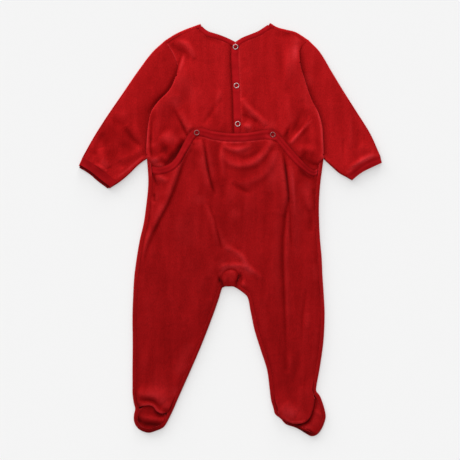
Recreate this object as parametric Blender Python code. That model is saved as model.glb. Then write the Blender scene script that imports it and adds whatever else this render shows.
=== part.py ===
"""Baby sleepsuit with feet, in velour: laid flat on its front, with its back up.

Sizes are in millimetres. x runs to the right and y from the toes to the neck, as seen
from above; z is up from the surface that it lies on. Each cut piece is a wall of cloth:
a middle surface, thickened by half the cloth on either side. The front is the lowest
piece, and its edges roll over on to the back, where the seams are.
"""
import math
from collections import namedtuple

import bpy
import numpy as np
from mathutils import Vector
from mathutils.geometry import delaunay_2d_cdt

MM = 0.001

# Cloth and seams
CLOTH = 1.6                     # velour, thickness of the wall
BAND = 2.1                      # doubled jersey of the bands
GAP = 0.3                       # between two pieces at a seam
LAYER = CLOTH + 0.45            # from one layer's middle to the next, where they lie on each other
ROLL = 1.9                      # radius of a rolled edge, to the middle of the cloth
ROLL_OUT = ROLL + CLOTH / 2     # the same, to its outer face
FLOOR_LAYER = CLOTH / 2         # middle of the lowest layer
SEAM_LAYER = FLOOR_LAYER + 2 * ROLL     # middle of the cloth where it comes over an edge
SEAM_IN = 6.0                   # side seams lie this far inside the edge
SHOULDER_IN = 5.0               # and shoulder seams this far

# Sampling: spacing of the points of the curves, along cut edges and inside the panels
CURVE_STEP = 3.0
MERGE = 1.5                     # outline points nearer than this are one
LEG_STEP = 14.0
FOOT_STEP = 6.0
ARMHOLE_STEP = 15.0
SHOULDER_STEP = 10.0
NECK_STEP = 8.0
GUSSET_STEP = 5.0
BAND_STEP = 9.0
PANEL_STEP = 13.0
SOLE_FILL = 9.0                 # inside the soles
GUSSET_FILL = 8.0               # and the gusset
SLEEVE_ROWS = 14
CUFF_ROWS = 2
CUFF_COLUMNS = 6
ROLL_STEPS = 3
RING_STEPS = 16

# Bands and snaps
NECK_BAND = 7.5
PLACKET_WIDTH = 10.5
FRONT_NECK_DEPTH = 50.0
SNAP_OUTER = 8.5
SNAP_HOLE = 4.5
SNAP_HEIGHT = 1.2

Side = namedtuple("Side", "height left right")
# Outer edges of body and legs, from the underarm to the ankle
SIDES = [Side(*row) for row in (
    (415.5, -133.2, 132.3),
    (400, -131.8, 130.2),
    (385, -131.0, 128.2),
    (369, -131.6, 126.6),
    (345, -134.3, 125.4),
    (320, -137.8, 125.8),
    (295, -143.6, 127.1),
    (268, -148.3, 129.5),
    (240, -152.0, 130.8),
    (210, -153.8, 132.8),
    (180, -154.8, 134.0),
    (140, -154.5, 132.0),
    (100, -154.8, 126.3),
    (74, -154.8, 121.6))]
# Inner edges of the legs, from the crotch to the ankle
INSEAMS = [Side(*row) for row in (
    (223, -18.0, -1.0),
    (216, -22.0, 10.0),
    (208, -24.3, 18.0),
    (189, -30.8, 22.2),
    (159, -42.0, 28.5),
    (129, -54.0, 37.8),
    (99, -67.0, 47.3),
    (72, -79.0, 51.0),
    (54, -87.0, 53.3))]

Point = namedtuple("Point", "x y")
# Edge of each foot: the left from its outer to its inner ankle, the right the other way round
FOOT_LEFT = [Point(*row) for row in (
    (-154.8, 64), (-153, 50), (-150.8, 40.5), (-152.7, 31), (-152.5, 22), (-148.6, 13.5),
    (-141.5, 7.5), (-130, 4.4), (-119.5, 7.3), (-109, 12), (-104, 18), (-97.5, 30.5), (-92.5, 41))]
FOOT_RIGHT = [Point(*row) for row in (
    (57.0, 41), (59.5, 32.5), (68, 25.5), (75.3, 17.5), (86.7, 13.4), (93.8, 10.5), (106.5, 2.8),
    (114.2, -0.8), (122.3, 1.5), (128.7, 9), (133.5, 19.5), (135.6, 29), (134.0, 39),
    (130.8, 50), (126.3, 60.8), (121.5, 67))]
# Lower edge of each back leg, where it laps over the sole
HEEL_LEFT = [Point(*row) for row in (
    (-144.2, 42.4), (-140, 44.8), (-134, 46), (-127.5, 46), (-122.5, 43.5), (-118, 37.5),
    (-110.5, 33.9), (-104.2, 34.2))]
HEEL_RIGHT = [Point(*row) for row in (
    (63.5, 35), (69.5, 27.5), (77, 21.5), (86.5, 18.7), (96.5, 18.7), (105.5, 21.6), (111.5, 28),
    (115, 37), (117.5, 47), (118.5, 57))]
# Edge of each sole that is hidden below the back leg
SOLE_HIDDEN_LEFT = [Point(*row) for row in (
    (-105, 32.4), (-110, 32.4), (-114, 38.5), (-118.5, 46.0), (-124, 52.5), (-131, 54),
    (-135, 50), (-139.8, 42.9), (-144.2, 41))]
SOLE_HIDDEN_RIGHT = [Point(*row) for row in (
    (110, 55), (108, 47), (105.5, 38), (102, 31.5), (97, 27.5), (90, 26.8), (82, 28.5), (77, 31))]

Shoulder = namedtuple("Shoulder", "left_x left_y right_x right_y")
# Shoulder edges, from the neck to the armhole
SHOULDERS = [Shoulder(*row) for row in (
    (-52.5, 618.5, 52.0, 620.0),
    (-64.0, 614.5, 62.5, 613.8),
    (-76.0, 610.0, 75.0, 610.3),
    (-91.0, 603.0, 91.0, 606.0),
    (-106.0, 593.5, 110.0, 594.0))]

Armhole = namedtuple("Armhole", "height left_seam left_fold right_seam right_fold")
# Armhole seams, and the folds of the back that lie over the sleeves
ARMHOLES = [Armhole(*row) for row in (
    (593.5, -106.0, -106.0, 110.0, 110.0),
    (586, -101.5, -101.5, 101.0, 101.0),
    (577, -96.0, -96.0, 96.0, 96.4),
    (566, -90.5, -90.5, 94.6, 96.2),
    (552, -86.0, -86.8, 94.3, 98.2),
    (535, -87.0, -90.8, 95.3, 103.5),
    (518, -91.3, -99.6, 98.3, 108.8),
    (502, -101.0, -115.3, 103.6, 115.0),
    (486, -113.0, -126.2, 112.0, 123.6),
    (466, -120.0, -130.8, 118.7, 129.6),
    (444, -126.5, -133.0, 125.0, 131.2),
    (428, -130.5, -133.8, 129.0, 131.8),
    (415.5, -133.2, -133.8, 132.3, 132.4))]

Sleeve = namedtuple("Sleeve", "outer_x outer_y inner_x inner_y")
# Edges of each sleeve, from the armhole to the cuff's seam
SLEEVE_LEFT = [Sleeve(*row) for row in (
    (-106, 593.5, -133.2, 415.5),
    (-125, 576.0, -139.5, 411.5),
    (-147, 547.0, -148.0, 404.5),
    (-170, 513.5, -157.5, 395.0),
    (-193, 480.0, -166.0, 387.3),
    (-213, 448.5, -171.5, 382.8),
    (-229.8, 418.5, -175.8, 379.6))]
SLEEVE_RIGHT = [Sleeve(*row) for row in (
    (110, 594.0, 132.3, 415.5),
    (127, 576.0, 137.0, 411.0),
    (145, 546.0, 143.5, 405.0),
    (163, 516.5, 150.5, 398.5),
    (182, 486.5, 156.0, 394.0),
    (202, 454.5, 160.5, 391.3),
    (217.5, 420.5, 164.8, 389.2))]

Cuff = namedtuple("Cuff", "seam_x seam_y mouth_x mouth_y")
# Sections along each cuff, from the outer to the inner edge of the sleeve
CUFF_LEFT = [Cuff(*row) for row in (
    (-229.8, 418.5, -236.2, 403.5),
    (-211.0, 406.7, -220.0, 393.5),
    (-194.0, 394.6, -206.5, 382.0),
    (-175.8, 379.6, -190.5, 370.3))]
CUFF_RIGHT = [Cuff(*row) for row in (
    (217.5, 420.5, 219.8, 409.9),
    (201.0, 414.2, 204.0, 402.6),
    (185.0, 405.6, 189.5, 395.2),
    (164.8, 389.2, 174.5, 383.6))]
CUFF_LIP_LEFT = 3.6             # the left cuff's lower layer shows this far past the upper one

# Neckline of each half of the back, from the shoulder to its end at the placket
NECK_LEFT = [Point(*row) for row in (
    (-52.5, 618.5), (-47.5, 612), (-40, 607), (-25.5, 602.5), (-13.5, 598), (-4.5, 593.7),
    (1, 590.8), (8, 588.5))]
NECK_RIGHT = [Point(*row) for row in (
    (52, 620), (47, 616), (41, 612), (34, 607.5), (22, 602.5), (10, 597.6), (2.5, 593),
    (-1.8, 589.7), (-5.6, 587.4))]

Placket = namedtuple("Placket", "height edge")
PLACKET = [Placket(*row) for row in (
    (587, -6.2), (572, -6.8), (555, -6.4), (534, -5.2), (504, -4.0), (474, -3.0), (447, -2.0),
    (420, -1.2), (384, 0.0))]
PLACKET_CORNER = [Point(*row) for row in ((-2.1, 580.6), (-6.3, 586.0))]    # its top left corner
FOOT_TOP = 62.0                 # the feet are below this height
UNDERLAP = 14.0                 # the left back goes on this far under the placket's edge
HEM = 384.0                     # hem of the upper back, hidden by the seat

SeatBand = namedtuple("SeatBand", "top_x top_y low_x low_y")
# Sections along the seat's band, from the left side seam to the right
SEAT_BAND = [SeatBand(*row) for row in (
    (-125.2, 405.3, -124.6, 393.2),
    (-118.0, 403.6, -117.5, 391.8),
    (-108.3, 404.4, -106.5, 393.2),
    (-99.0, 408.0, -93.8, 398.0),
    (-91.0, 415.5, -84.0, 407.3),
    (-82.8, 429.0, -75.0, 422.3),
    (-74.3, 445.5, -65.3, 438.8),
    (-67.5, 455.5, -60.8, 446.4),
    (-59.5, 460.6, -56.5, 449.6),
    (-47.3, 460.8, -46.5, 448.0),
    (-35.5, 457.6, -36.8, 445.0),
    (-15.5, 454.4, -15.8, 441.8),
    (4.0, 453.6, 3.8, 441.2),
    (22.0, 455.0, 22.5, 442.3),
    (41.5, 458.6, 42.0, 444.4),
    (53.0, 459.6, 53.2, 445.0),
    (62.0, 456.0, 60.8, 440.8),
    (70.0, 447.0, 66.5, 434.5),
    (79.3, 435.6, 73.5, 425.5),
    (97.5, 415.0, 90.5, 406.5),
    (111.0, 401.8, 105.5, 394.5),
    (119.0, 398.8, 116.5, 389.0),
    (123.4, 401.6, 122.0, 391.0))]

# Gusset between the legs: its seam on the back, from the left to the right end of the crotch
GUSSET = [Point(*row) for row in (
    (-18.0, 223), (-20.8, 231), (-20.6, 239), (-16.5, 246.3), (-10.5, 249.7), (-5.0, 250.6),
    (0.5, 248.6), (4.8, 243), (4.2, 234.5), (-1.0, 223))]
GUSSET_UNDER = 9.0              # how far it goes in under the front

Fold = namedtuple("Fold", "x0 y0 x1 y1 x2 y2 rise left right peak")
# Largest folds: start, middle and end of each ridge, its rise, its width on the left and on
# the right of that direction, and how far along it is highest
SEAT_FOLDS = [Fold(*row) for row in (
    (-51, 447, -39, 398, -28, 345, 3.2, 9, 15, 0.3),
    (-62, 441, -84, 392, -128, 300, 3.0, 15, 9, 0.35),
    (71, 424, 77, 378, 73, 322, 3.2, 9, 16, 0.4),
    (73, 335, 67, 240, 72, 110, 2.8, 8, 15, 0.5),
    (55, 441, 49, 412, 40, 372, 2.0, 12, 12, 0.3),
    (-20, 262, -2, 268, 14, 258, 1.4, 8, 10, 0.5),
    (10, 268, 26, 252, 38, 236, 1.3, 9, 9, 0.4),
    (-126, 402, -120, 372, -124, 345, 0.9, 9, 7, 0.4),
    (-140, 75, -128, 57, -112, 48, 1.0, 8, 8, 0.5))]
BACK_LEFT_FOLDS = [Fold(*row) for row in (
    (-92, 488, -82, 468, -73, 450, 1.5, 9, 14, 0.5),
    (-77, 590, -66, 578, -58, 566, 1.4, 10, 10, 0.5))]
BACK_RIGHT_FOLDS = [Fold(*row) for row in (
    (111, 476, 96, 458, 81, 440, 1.8, 8, 14, 0.5),
    (8, 505, 22, 488, 38, 472, 1.2, 10, 10, 0.5),
    (88, 597, 75, 579, 73, 530, 1.4, 12, 12, 0.4))]
SLEEVE_FOLDS = [Fold(*row) for row in (
    (-100, 560, -118, 520, -140, 490, 1.3, 12, 12, 0.4),
    (-150, 440, -165, 455, -190, 458, 1.0, 12, 12, 0.4),
    (112, 555, 125, 515, 142, 480, 1.3, 12, 12, 0.4),
    (150, 435, 165, 445, 185, 452, 1.0, 12, 12, 0.4))]

Snap = namedtuple("Snap", "name x y piece")
SNAPS = [Snap(*row) for row in (
    ("snap_placket_1", 0.0, 583.5, "placket"),
    ("snap_placket_2", 1.5, 525.5, "placket"),
    ("snap_placket_3", 3.3, 468.0, "placket"),
    ("snap_seat_left", -58.0, 454.6, "band"),
    ("snap_seat_right", 55.8, 451.8, "band"))]

# Heights of the layers' middles
BACK_INNER = 4.5                # upper back, away from its seams
BACK_UNDER = 3.3                # left back under the placket
BACK_OVER = 5.5                 # right back beside the placket
PLACKET_LAYER = 5.7
NECK_LAYER = SEAM_LAYER + 0.2   # neck band, away from the placket
SEAT_LAYER = 5.1                # seat and legs, one layer over the front
SLEEVE_LAYER = 5.2
SLEEVE_UNDER = 4.0              # sleeve's top under the fold of the back
SOLE_LAYER = 4.7
HEEL_LAYER = SOLE_LAYER + LAYER + 0.2
FOLD_ROLL = 1.05                # radius of the back's folds over the sleeves
FOLD_LAYER = SLEEVE_UNDER + LAYER + 2 * FOLD_ROLL
FOLD_UNDER = 7.0                # how far the folded cloth goes back under
FOLD_LOW = 436.0                # the cloth is folded under from here
FOLD_TOP_LEFT = 541.0           # up to here
FOLD_TOP_RIGHT = 560.0
SEAM_FREE_LEFT = 553.0          # above here the armhole seams show
SEAM_FREE_RIGHT = 564.0

Blend = namedtuple("Blend", "start end")
# Where one level goes over into the next: distances from an edge, or places along x or y
SEAM_BLEND = Blend(1, 14)       # from a seam into the upper back
FOLD_BLEND = Blend(5, 32)       # from the fold over the sleeve inwards
FOLD_RISE = Blend(404, 420)     # heights over which the fold comes up from the side seam
FOLD_FALL = Blend(8, 24)        # and goes down again, above its top
TAIL_LOW = Blend(392, 410)      # heights where the back's tail goes down to the side seam
TAIL_OUT = Blend(88, 108)       # distances from the middle for the same
UNDER_PLACKET = Blend(2, 30)    # left back, from the placket outwards
BESIDE_PLACKET = Blend(18, 45)  # right back
NECK_LEFT_RISE = Blend(-32, -10)
NECK_RIGHT_RISE = Blend(14, 40)
SEAT_OVER_TAILS = Blend(HEM - 24, HEM - 4)
SEAT_MIDDLE = Blend(-16, 18)    # where the seat changes from the left back's level to the right's
PLACKET_HUMP = Blend(8, 34)     # distances from the placket's middle, over which it lifts the seat
PLACKET_MIDDLE = 4.0
SIDE_BLEND = 8.0                # seat, from its side seams inwards
HEEL_BLEND = Blend(10, 36)      # seat, from its heels upwards
HEEL_END = Blend(1, 9)          # left heel, from its ends at the side seams
SLEEVE_SEAM = Blend(8, 22)      # sleeve, above the fold's top
SLEEVE_OUT = Blend(2, 22)       # sleeve, from the fold outwards
SLEEVE_EDGE = Blend(0, 9)       # sleeve, from its edges inwards
GUSSET_RISE = Blend(227, 240)

RED = (0.42, 0.012, 0.014, 1.0)
RED_BAND = (0.34, 0.008, 0.014, 1.0)
STEEL = (0.62, 0.58, 0.57, 1.0)


# ---------------------------------------------------------------- curves
def smooth_curve(points, step=CURVE_STEP):
    """Evenly spaced points on a smooth curve through the given ones."""
    knots = np.array([(p[0], p[1]) for p in points], float)
    ends = (2 * knots[0] - knots[1], 2 * knots[-1] - knots[-2])
    knots = np.vstack((ends[0], knots, ends[1]))
    fine = []
    for i in range(1, len(knots) - 2):
        before, start, end, after = knots[i - 1:i + 3]
        reach = np.linalg.norm(end - start)
        slope_in = (end - before) / max(reach + np.linalg.norm(start - before), 1e-6)
        slope_out = (after - start) / max(reach + np.linalg.norm(after - end), 1e-6)
        for t in np.linspace(0, 1, 9, endpoint=False):
            fine.append((2 * t ** 3 - 3 * t ** 2 + 1) * start + (t ** 3 - 2 * t ** 2 + t) * reach * slope_in
                        + (3 * t ** 2 - 2 * t ** 3) * end + (t ** 3 - t ** 2) * reach * slope_out)
    fine.append(knots[-2])
    return even(np.array(fine), step)


def even(curve, step):
    """The same curve with evenly spaced points."""
    along = np.concatenate(([0], np.cumsum(np.linalg.norm(np.diff(curve, axis=0), axis=1))))
    count = max(1, round(along[-1] / step))
    stations = np.linspace(0, along[-1], count + 1)
    return np.column_stack([np.interp(stations, along, curve[:, axis]) for axis in (0, 1)])


def part_of(curve, start, end=None):
    """The stretch of a curve from one length along it to another."""
    along = np.concatenate(([0], np.cumsum(np.linalg.norm(np.diff(curve, axis=0), axis=1))))
    end = along[-1] if end is None else end
    stations = np.concatenate(([start], along[(along > start + 0.5) & (along < end - 0.5)], [end]))
    return np.column_stack([np.interp(stations, along, curve[:, axis]) for axis in (0, 1)])


def normals_left(curve):
    """Unit normals to the left of an open curve."""
    along = np.gradient(curve, axis=0)
    along[0] = curve[1] - curve[0]
    along[-1] = curve[-1] - curve[-2]
    along /= np.linalg.norm(along, axis=1)[:, None]
    return np.column_stack((-along[:, 1], along[:, 0]))


def inset(curve, distance):
    """The curve moved to its left, which is into the cloth."""
    return curve + normals_left(curve) * distance


def distance_to(x, y, curve):
    """Distance from each point to a curve."""
    best = np.full(np.shape(x), np.inf)
    for start, end in zip(curve[:-1], curve[1:]):
        run = end - start
        t = np.clip(((x - start[0]) * run[0] + (y - start[1]) * run[1]) / (run @ run), 0, 1)
        best = np.minimum(best, np.hypot(x - start[0] - t * run[0], y - start[1] - t * run[1]))
    return best


def ease(value, start, end):
    """0 before start, 1 after end, and smooth between."""
    t = np.clip((value - start) / (end - start), 0, 1)
    return t * t * (3 - 2 * t)


def fold_line(fold, count=17):
    """Points along a fold's ridge, a parabola through its three points."""
    t = np.linspace(0, 1, count)[:, None]
    start, middle, end = (np.array(p) for p in zip(fold[0:6:2], fold[1:6:2]))
    pull = 2 * middle - (start + end) / 2
    return (1 - t) ** 2 * start + 2 * t * (1 - t) * pull + t ** 2 * end


def folds_height(x, y, folds):
    """Height that the folds add at each point."""
    total = np.zeros(np.shape(x))
    for fold in folds:
        line = fold_line(fold)
        best = np.full(np.shape(x), np.inf)
        place = np.zeros(np.shape(x))
        side = np.zeros(np.shape(x))
        for i, (start, end) in enumerate(zip(line[:-1], line[1:])):
            run = end - start
            t = np.clip(((x - start[0]) * run[0] + (y - start[1]) * run[1]) / (run @ run), 0, 1)
            away_x, away_y = x - start[0] - t * run[0], y - start[1] - t * run[1]
            away = np.hypot(away_x, away_y)
            nearer = away < best
            best = np.where(nearer, away, best)
            place = np.where(nearer, (i + t) / (len(line) - 1), place)
            side = np.where(nearer, run[0] * away_y - run[1] * away_x, side)
        width = np.where(side > 0, fold.left, fold.right)
        swell = np.sin(math.pi * np.clip(place, 0, 1) ** (math.log(0.5) / math.log(fold.peak)))
        total = total + fold.rise * swell * np.exp(-(best / width) ** 2)
    return total


# ---------------------------------------------------------------- cloth
def fill(outline, step, ridges=()):
    """Fills a closed outline, counter-clockwise, with triangles: points, faces and the rim's indices."""
    outline = np.asarray(outline)
    points = [tuple(p) for p in outline]
    closed = np.vstack((outline, outline[:1]))
    if step:
        wanted = [p for ridge in ridges for p in ridge]
        low, high = outline.min(axis=0), outline.max(axis=0)
        row = 0
        for y in np.arange(low[1] + step / 2, high[1], step * math.sqrt(0.75)):
            row += 1
            wanted += [(x, y) for x in np.arange(low[0] + step * (0.25 + 0.5 * (row % 2)), high[0], step)]
        inner = np.array(wanted)
        inside = np.zeros(len(inner), bool)
        for start, end in zip(closed[:-1], closed[1:]):
            crosses = (start[1] > inner[:, 1]) != (end[1] > inner[:, 1])
            slope = (end[0] - start[0]) / (end[1] - start[1] if end[1] != start[1] else 1e-9)
            inside ^= crosses & (inner[:, 0] < start[0] + (inner[:, 1] - start[1]) * slope)
        inner = inner[inside & (distance_to(inner[:, 0], inner[:, 1], closed) > 0.55 * step)]
        kept = []
        for p in inner:
            if all((p[0] - q[0]) ** 2 + (p[1] - q[1]) ** 2 > (0.6 * step) ** 2 for q in kept):
                kept.append(p)
        points += [tuple(p) for p in kept]
    rim = len(outline)
    edges = [(i, (i + 1) % rim) for i in range(rim)]
    verts, _, faces, origins, _, _ = delaunay_2d_cdt([Vector(p) for p in points], edges, [], 1, 1e-7)
    flat = np.array([tuple(v) for v in verts])
    where = {source: index for index, sources in enumerate(origins) for source in sources}
    ordered = []
    for face in faces:
        a, b, c = (flat[i] for i in face)
        turn = (b[0] - a[0]) * (c[1] - a[1]) - (b[1] - a[1]) * (c[0] - a[0])
        ordered.append(tuple(face) if turn > 0 else tuple(reversed(face)))
    return flat, ordered, [where[i] for i in range(rim)]


def curl(points, faces, rim, normals, roll):
    """Rolls the cloth over along part of its rim: up for turn 1, down for -1, then back in by run."""
    radius, turn, run = roll
    levels = [list(rim)]
    for k in range(1, ROLL_STEPS + 2):
        angle = math.pi * min(k / ROLL_STEPS, 1)
        out = radius * math.sin(angle) if k <= ROLL_STEPS else -run
        up = turn * radius * (1 - math.cos(angle))
        level = []
        for index, normal in zip(rim, normals):
            x, y, z = points[index]
            level.append(len(points))
            points.append((x - normal[0] * out, y - normal[1] * out, z + up))
        levels.append(level)
    for low, high in zip(levels[:-1], levels[1:]):
        for i in range(len(rim) - 1):
            faces.append((low[i + 1], low[i], high[i], high[i + 1]))


def thicken(points, faces, thickness):
    """A closed wall round a middle surface."""
    points = np.asarray(points, float)
    normals = np.zeros_like(points)
    for face in faces:
        for i, corner in enumerate(face):
            ahead = points[face[(i + 1) % len(face)]] - points[corner]
            behind = points[face[i - 1]] - points[corner]
            cross = np.cross(ahead, behind)
            size = np.linalg.norm(cross)
            if size > 1e-9:
                normals[corner] += cross / size * math.atan2(size, ahead @ behind)
    normals /= np.linalg.norm(normals, axis=1)[:, None]
    count = len(points)
    walls = []
    used = {(a, b) for face in faces for a, b in zip(face, face[1:] + face[:1])}
    for a, b in sorted(used):
        if (b, a) not in used:
            walls.append((b, a, a + count, b + count))
    upper = points + normals * thickness / 2
    lower = points - normals * thickness / 2
    solid = [tuple(f) for f in faces] + [tuple(i + count for i in reversed(f)) for f in faces] + walls
    return np.vstack((upper, lower)), solid


Stretch = namedtuple("Stretch", "curve roll edge", defaults=(None, None))
Roll = namedtuple("Roll", "radius turn run")


def rolled(edge, roll, thickness=CLOTH):
    """A stretch of outline whose cloth rolls over, with its outer face at the edge."""
    return Stretch(inset(edge, roll.radius + thickness / 2), roll, edge)


def cut(curve, step=None):
    """A stretch of outline that is simply cut, with new points if a step is given."""
    curve = np.asarray(curve, float)
    return Stretch(even(curve, step) if step else curve)


def panel(stretches, height, folds=(), step=PANEL_STEP, thickness=CLOTH):
    """A flat-cut piece from the stretches of its outline and the height of its middle at each place."""
    outline, rolls = [], []
    for stretch in stretches:
        if stretch.roll:
            rolls.append((len(outline), normals_left(stretch.edge), stretch.roll))
            outline += [tuple(p) for p in stretch.curve]
        else:
            for p in stretch.curve:
                if not outline or math.dist(outline[-1], p) > MERGE:
                    outline.append(tuple(p))
    while math.dist(outline[0], outline[-1]) < MERGE and not stretches[-1].roll:
        outline.pop()
    ridges = [fold_line(fold, max(3, round(math.hypot(fold.x2 - fold.x0, fold.y2 - fold.y0) / step)))
              for fold in folds]
    flat, faces, rim = fill(outline, step, ridges)
    z = height(flat[:, 0], flat[:, 1]) + folds_height(flat[:, 0], flat[:, 1], folds)
    points = [tuple(p) for p in np.column_stack((flat, z))]
    for first, normals, roll in rolls:
        stretch = [rim[(first + i) % len(rim)] for i in range(len(normals))]
        curl(points, faces, stretch, normals, roll)
    return thicken(points, faces, thickness)


def tube(rings, thickness):
    """An open-ended piece from rings of equally many points."""
    size = len(rings[0])
    points = [tuple(p) for ring in rings for p in ring]
    faces = []
    for row in range(len(rings) - 1):
        for i in range(size):
            j = (i + 1) % size
            faces.append((row * size + i, row * size + j, (row + 1) * size + j, (row + 1) * size + i))
    return thicken(points, faces, thickness)


# ---------------------------------------------------------------- edges of the garment
def side_curve(rows, column):
    return [(getattr(row, column), row.height) for row in rows]


def armhole(column):
    """An armhole seam or the fold beside it, from the shoulder down."""
    return smooth_curve(side_curve(ARMHOLES, column))


def front_neck():
    """Front neckline, hidden below the back: from the right shoulder to the left."""
    left, right = SHOULDERS[0].left_x, SHOULDERS[0].right_x
    count = 16
    rows = []
    for i in range(count + 1):
        across = i / count
        x = right + (left - right) * across
        level = SHOULDERS[0].right_y + (SHOULDERS[0].left_y - SHOULDERS[0].right_y) * across
        rows.append((x, level - FRONT_NECK_DEPTH * (1 - abs(1 - 2 * across) ** 2.2)))
    return smooth_curve(rows, NECK_STEP)


def leg_edge(points):
    """Edge of a leg, with closer points round the foot."""
    curve = smooth_curve(points)
    foot = np.flatnonzero(curve[:, 1] < FOOT_TOP)
    first, last = foot[0], foot[-1]
    return np.vstack((even(curve[:first + 1], LEG_STEP)[:-1], even(curve[first:last + 1], FOOT_STEP)[:-1],
                      even(curve[last:], LEG_STEP)))


def shoulder_edge(points):
    """A shoulder from the neck outwards: its second point is the band's seam, and its last but one
    is where the rolled edge ends before the armhole."""
    curve = smooth_curve(points)
    length = np.linalg.norm(np.diff(curve, axis=0), axis=1).sum()
    return np.vstack((curve[:1], even(part_of(curve, NECK_BAND + GAP, length - ROLL_OUT), SHOULDER_STEP),
                      curve[-1:]))


# Left leg: from the underarm round the foot to the crotch; right leg: from the crotch to the underarm
LEG_LEFT = leg_edge(side_curve(SIDES, "left") + FOOT_LEFT + side_curve(INSEAMS, "left")[::-1])
LEG_RIGHT = leg_edge(side_curve(INSEAMS, "right") + FOOT_RIGHT + side_curve(SIDES, "right")[::-1])
# Shoulders: from the neck outwards
SHOULDER_LEFT = shoulder_edge([(row.left_x, row.left_y) for row in SHOULDERS])
SHOULDER_RIGHT = shoulder_edge([(row.right_x, row.right_y) for row in SHOULDERS])
# Armholes and the folds beside them: from the shoulder down
SEAM_LEFT, SEAM_RIGHT = even(armhole("left_seam"), ARMHOLE_STEP), even(armhole("right_seam"), ARMHOLE_STEP)
FOLD_LEFT, FOLD_RIGHT = armhole("left_fold"), armhole("right_fold")
NECKLINE_LEFT, NECKLINE_RIGHT = smooth_curve(NECK_LEFT, NECK_STEP), smooth_curve(NECK_RIGHT, NECK_STEP)
FRONT_NECKLINE = front_neck()
PLACKET_EDGE = smooth_curve([(row.edge, row.height) for row in PLACKET])
HEELS = (smooth_curve(HEEL_LEFT, FOOT_STEP), smooth_curve(HEEL_RIGHT, FOOT_STEP))
GUSSET_SEAM = smooth_curve(GUSSET, GUSSET_STEP)


def between(curve, low, high):
    """The points of a curve whose height is between low and high."""
    return curve[(curve[:, 1] >= low) & (curve[:, 1] <= high)]


def above(curve, low):
    return curve[curve[:, 1] > low]


def clear_of(curve, other, distance):
    """The points of a curve that are at least a distance from another curve."""
    return curve[distance_to(curve[:, 0], curve[:, 1], other) >= distance]


# ---------------------------------------------------------------- heights of the layers
def back_edge(x, y, seams, inner):
    """Level of an upper back: the seams' level along its edges, inner away from them."""
    away = distance_to(x, y, seams)
    return SEAM_LAYER + (inner - SEAM_LAYER) * ease(away, *SEAM_BLEND)


def over_sleeve(x, y, level, fold, top):
    """Raises an upper back where it folds over the sleeve, up to the height top."""
    away = distance_to(x, y, fold)
    along = ease(y, *FOLD_RISE) * (1 - ease(y - top, *FOLD_FALL))
    return level + (FOLD_LAYER - level) * along * (1 - ease(away, *FOLD_BLEND))


def tail(x, y, level, side):
    """Lowers the hidden tail of an upper back beside the side seam."""
    return level - (level - BACK_UNDER) * (1 - ease(y, *TAIL_LOW)) * ease(side * x, *TAIL_OUT)


def back_left_height(x, y):
    inner = BACK_UNDER + (BACK_INNER - BACK_UNDER) * ease(-x, *UNDER_PLACKET)
    level = back_edge(x, y, np.vstack((SHOULDER_LEFT[:-1], above(SEAM_LEFT, SEAM_FREE_LEFT))), inner)
    return tail(x, y, over_sleeve(x, y, level, FOLD_LEFT, FOLD_TOP_LEFT), -1)


def back_right_height(x, y):
    inner = BACK_OVER + (BACK_INNER - BACK_OVER) * ease(x, *BESIDE_PLACKET)
    level = back_edge(x, y, np.vstack((SHOULDER_RIGHT[:-1], above(SEAM_RIGHT, SEAM_FREE_RIGHT))), inner)
    return tail(x, y, over_sleeve(x, y, level, FOLD_RIGHT, FOLD_TOP_RIGHT), 1)


def placket_height(x, y):
    return PLACKET_LAYER + 0 * x


def neck_left_height(x, y):
    return NECK_LAYER + (BACK_UNDER + 0.1 - NECK_LAYER) * ease(x, *NECK_LEFT_RISE)


def neck_right_height(x, y):
    return PLACKET_LAYER + (NECK_LAYER - PLACKET_LAYER) * ease(x, *NECK_RIGHT_RISE)


def seat_height(x, y):
    """Seat and back legs: over the front, the upper back's tails, and the soles at the heels."""
    sides = np.minimum(distance_to(x, y, LEG_LEFT), distance_to(x, y, LEG_RIGHT))
    middle = ease(x, *SEAT_MIDDLE)
    left, right = back_left_height(x, y), back_right_height(x, y)
    tails = left + (right - left) * middle
    placket = PLACKET_LAYER + (BAND - CLOTH) / 2 + 0.1
    hump = (1 - ease(np.abs(x - PLACKET_MIDDLE), *PLACKET_HUMP)) * (placket - tails)
    over = np.maximum(tails + np.maximum(hump, 0) + LAYER + 0.15, SEAT_LAYER)
    level = SEAT_LAYER + (over - SEAT_LAYER) * ease(y, *SEAT_OVER_TAILS)
    level = SEAM_LAYER + (level - SEAM_LAYER) * ease(sides - SEAM_IN, 0, SIDE_BLEND)
    ends = np.minimum(np.hypot(x - HEEL_LEFT[0].x, y - HEEL_LEFT[0].y),
                      np.hypot(x - HEEL_LEFT[-1].x, y - HEEL_LEFT[-1].y))
    heel_left, heel_right = (1 - ease(distance_to(x, y, heel), *HEEL_BLEND) for heel in HEELS)
    heel = np.maximum(heel_left * ease(ends, *HEEL_END), heel_right)
    return level + (HEEL_LAYER - level) * heel


def seat_band_height(x, y):
    return seat_height(x, y) + (BAND - CLOTH) / 2 + 0.1


def sole_height(x, y):
    return SOLE_LAYER + 0 * x


def sleeve_height(x, y, edges, fold, side, top):
    """Upper layer of a sleeve: low where the back folds over it, soft and full outside."""
    line = fold[np.argsort(fold[:, 1])]
    outside = side * (x - np.interp(y, line[:, 1], line[:, 0]))
    under = SLEEVE_UNDER + (SEAM_LAYER - SLEEVE_UNDER) * ease(y - top, *SLEEVE_SEAM)
    inner = under + (SLEEVE_LAYER - under) * ease(outside, *SLEEVE_OUT)
    away = np.minimum(distance_to(x, y, edges[0]), distance_to(x, y, edges[1]))
    return SEAM_LAYER + (inner - SEAM_LAYER) * ease(away, *SLEEVE_EDGE)


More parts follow.
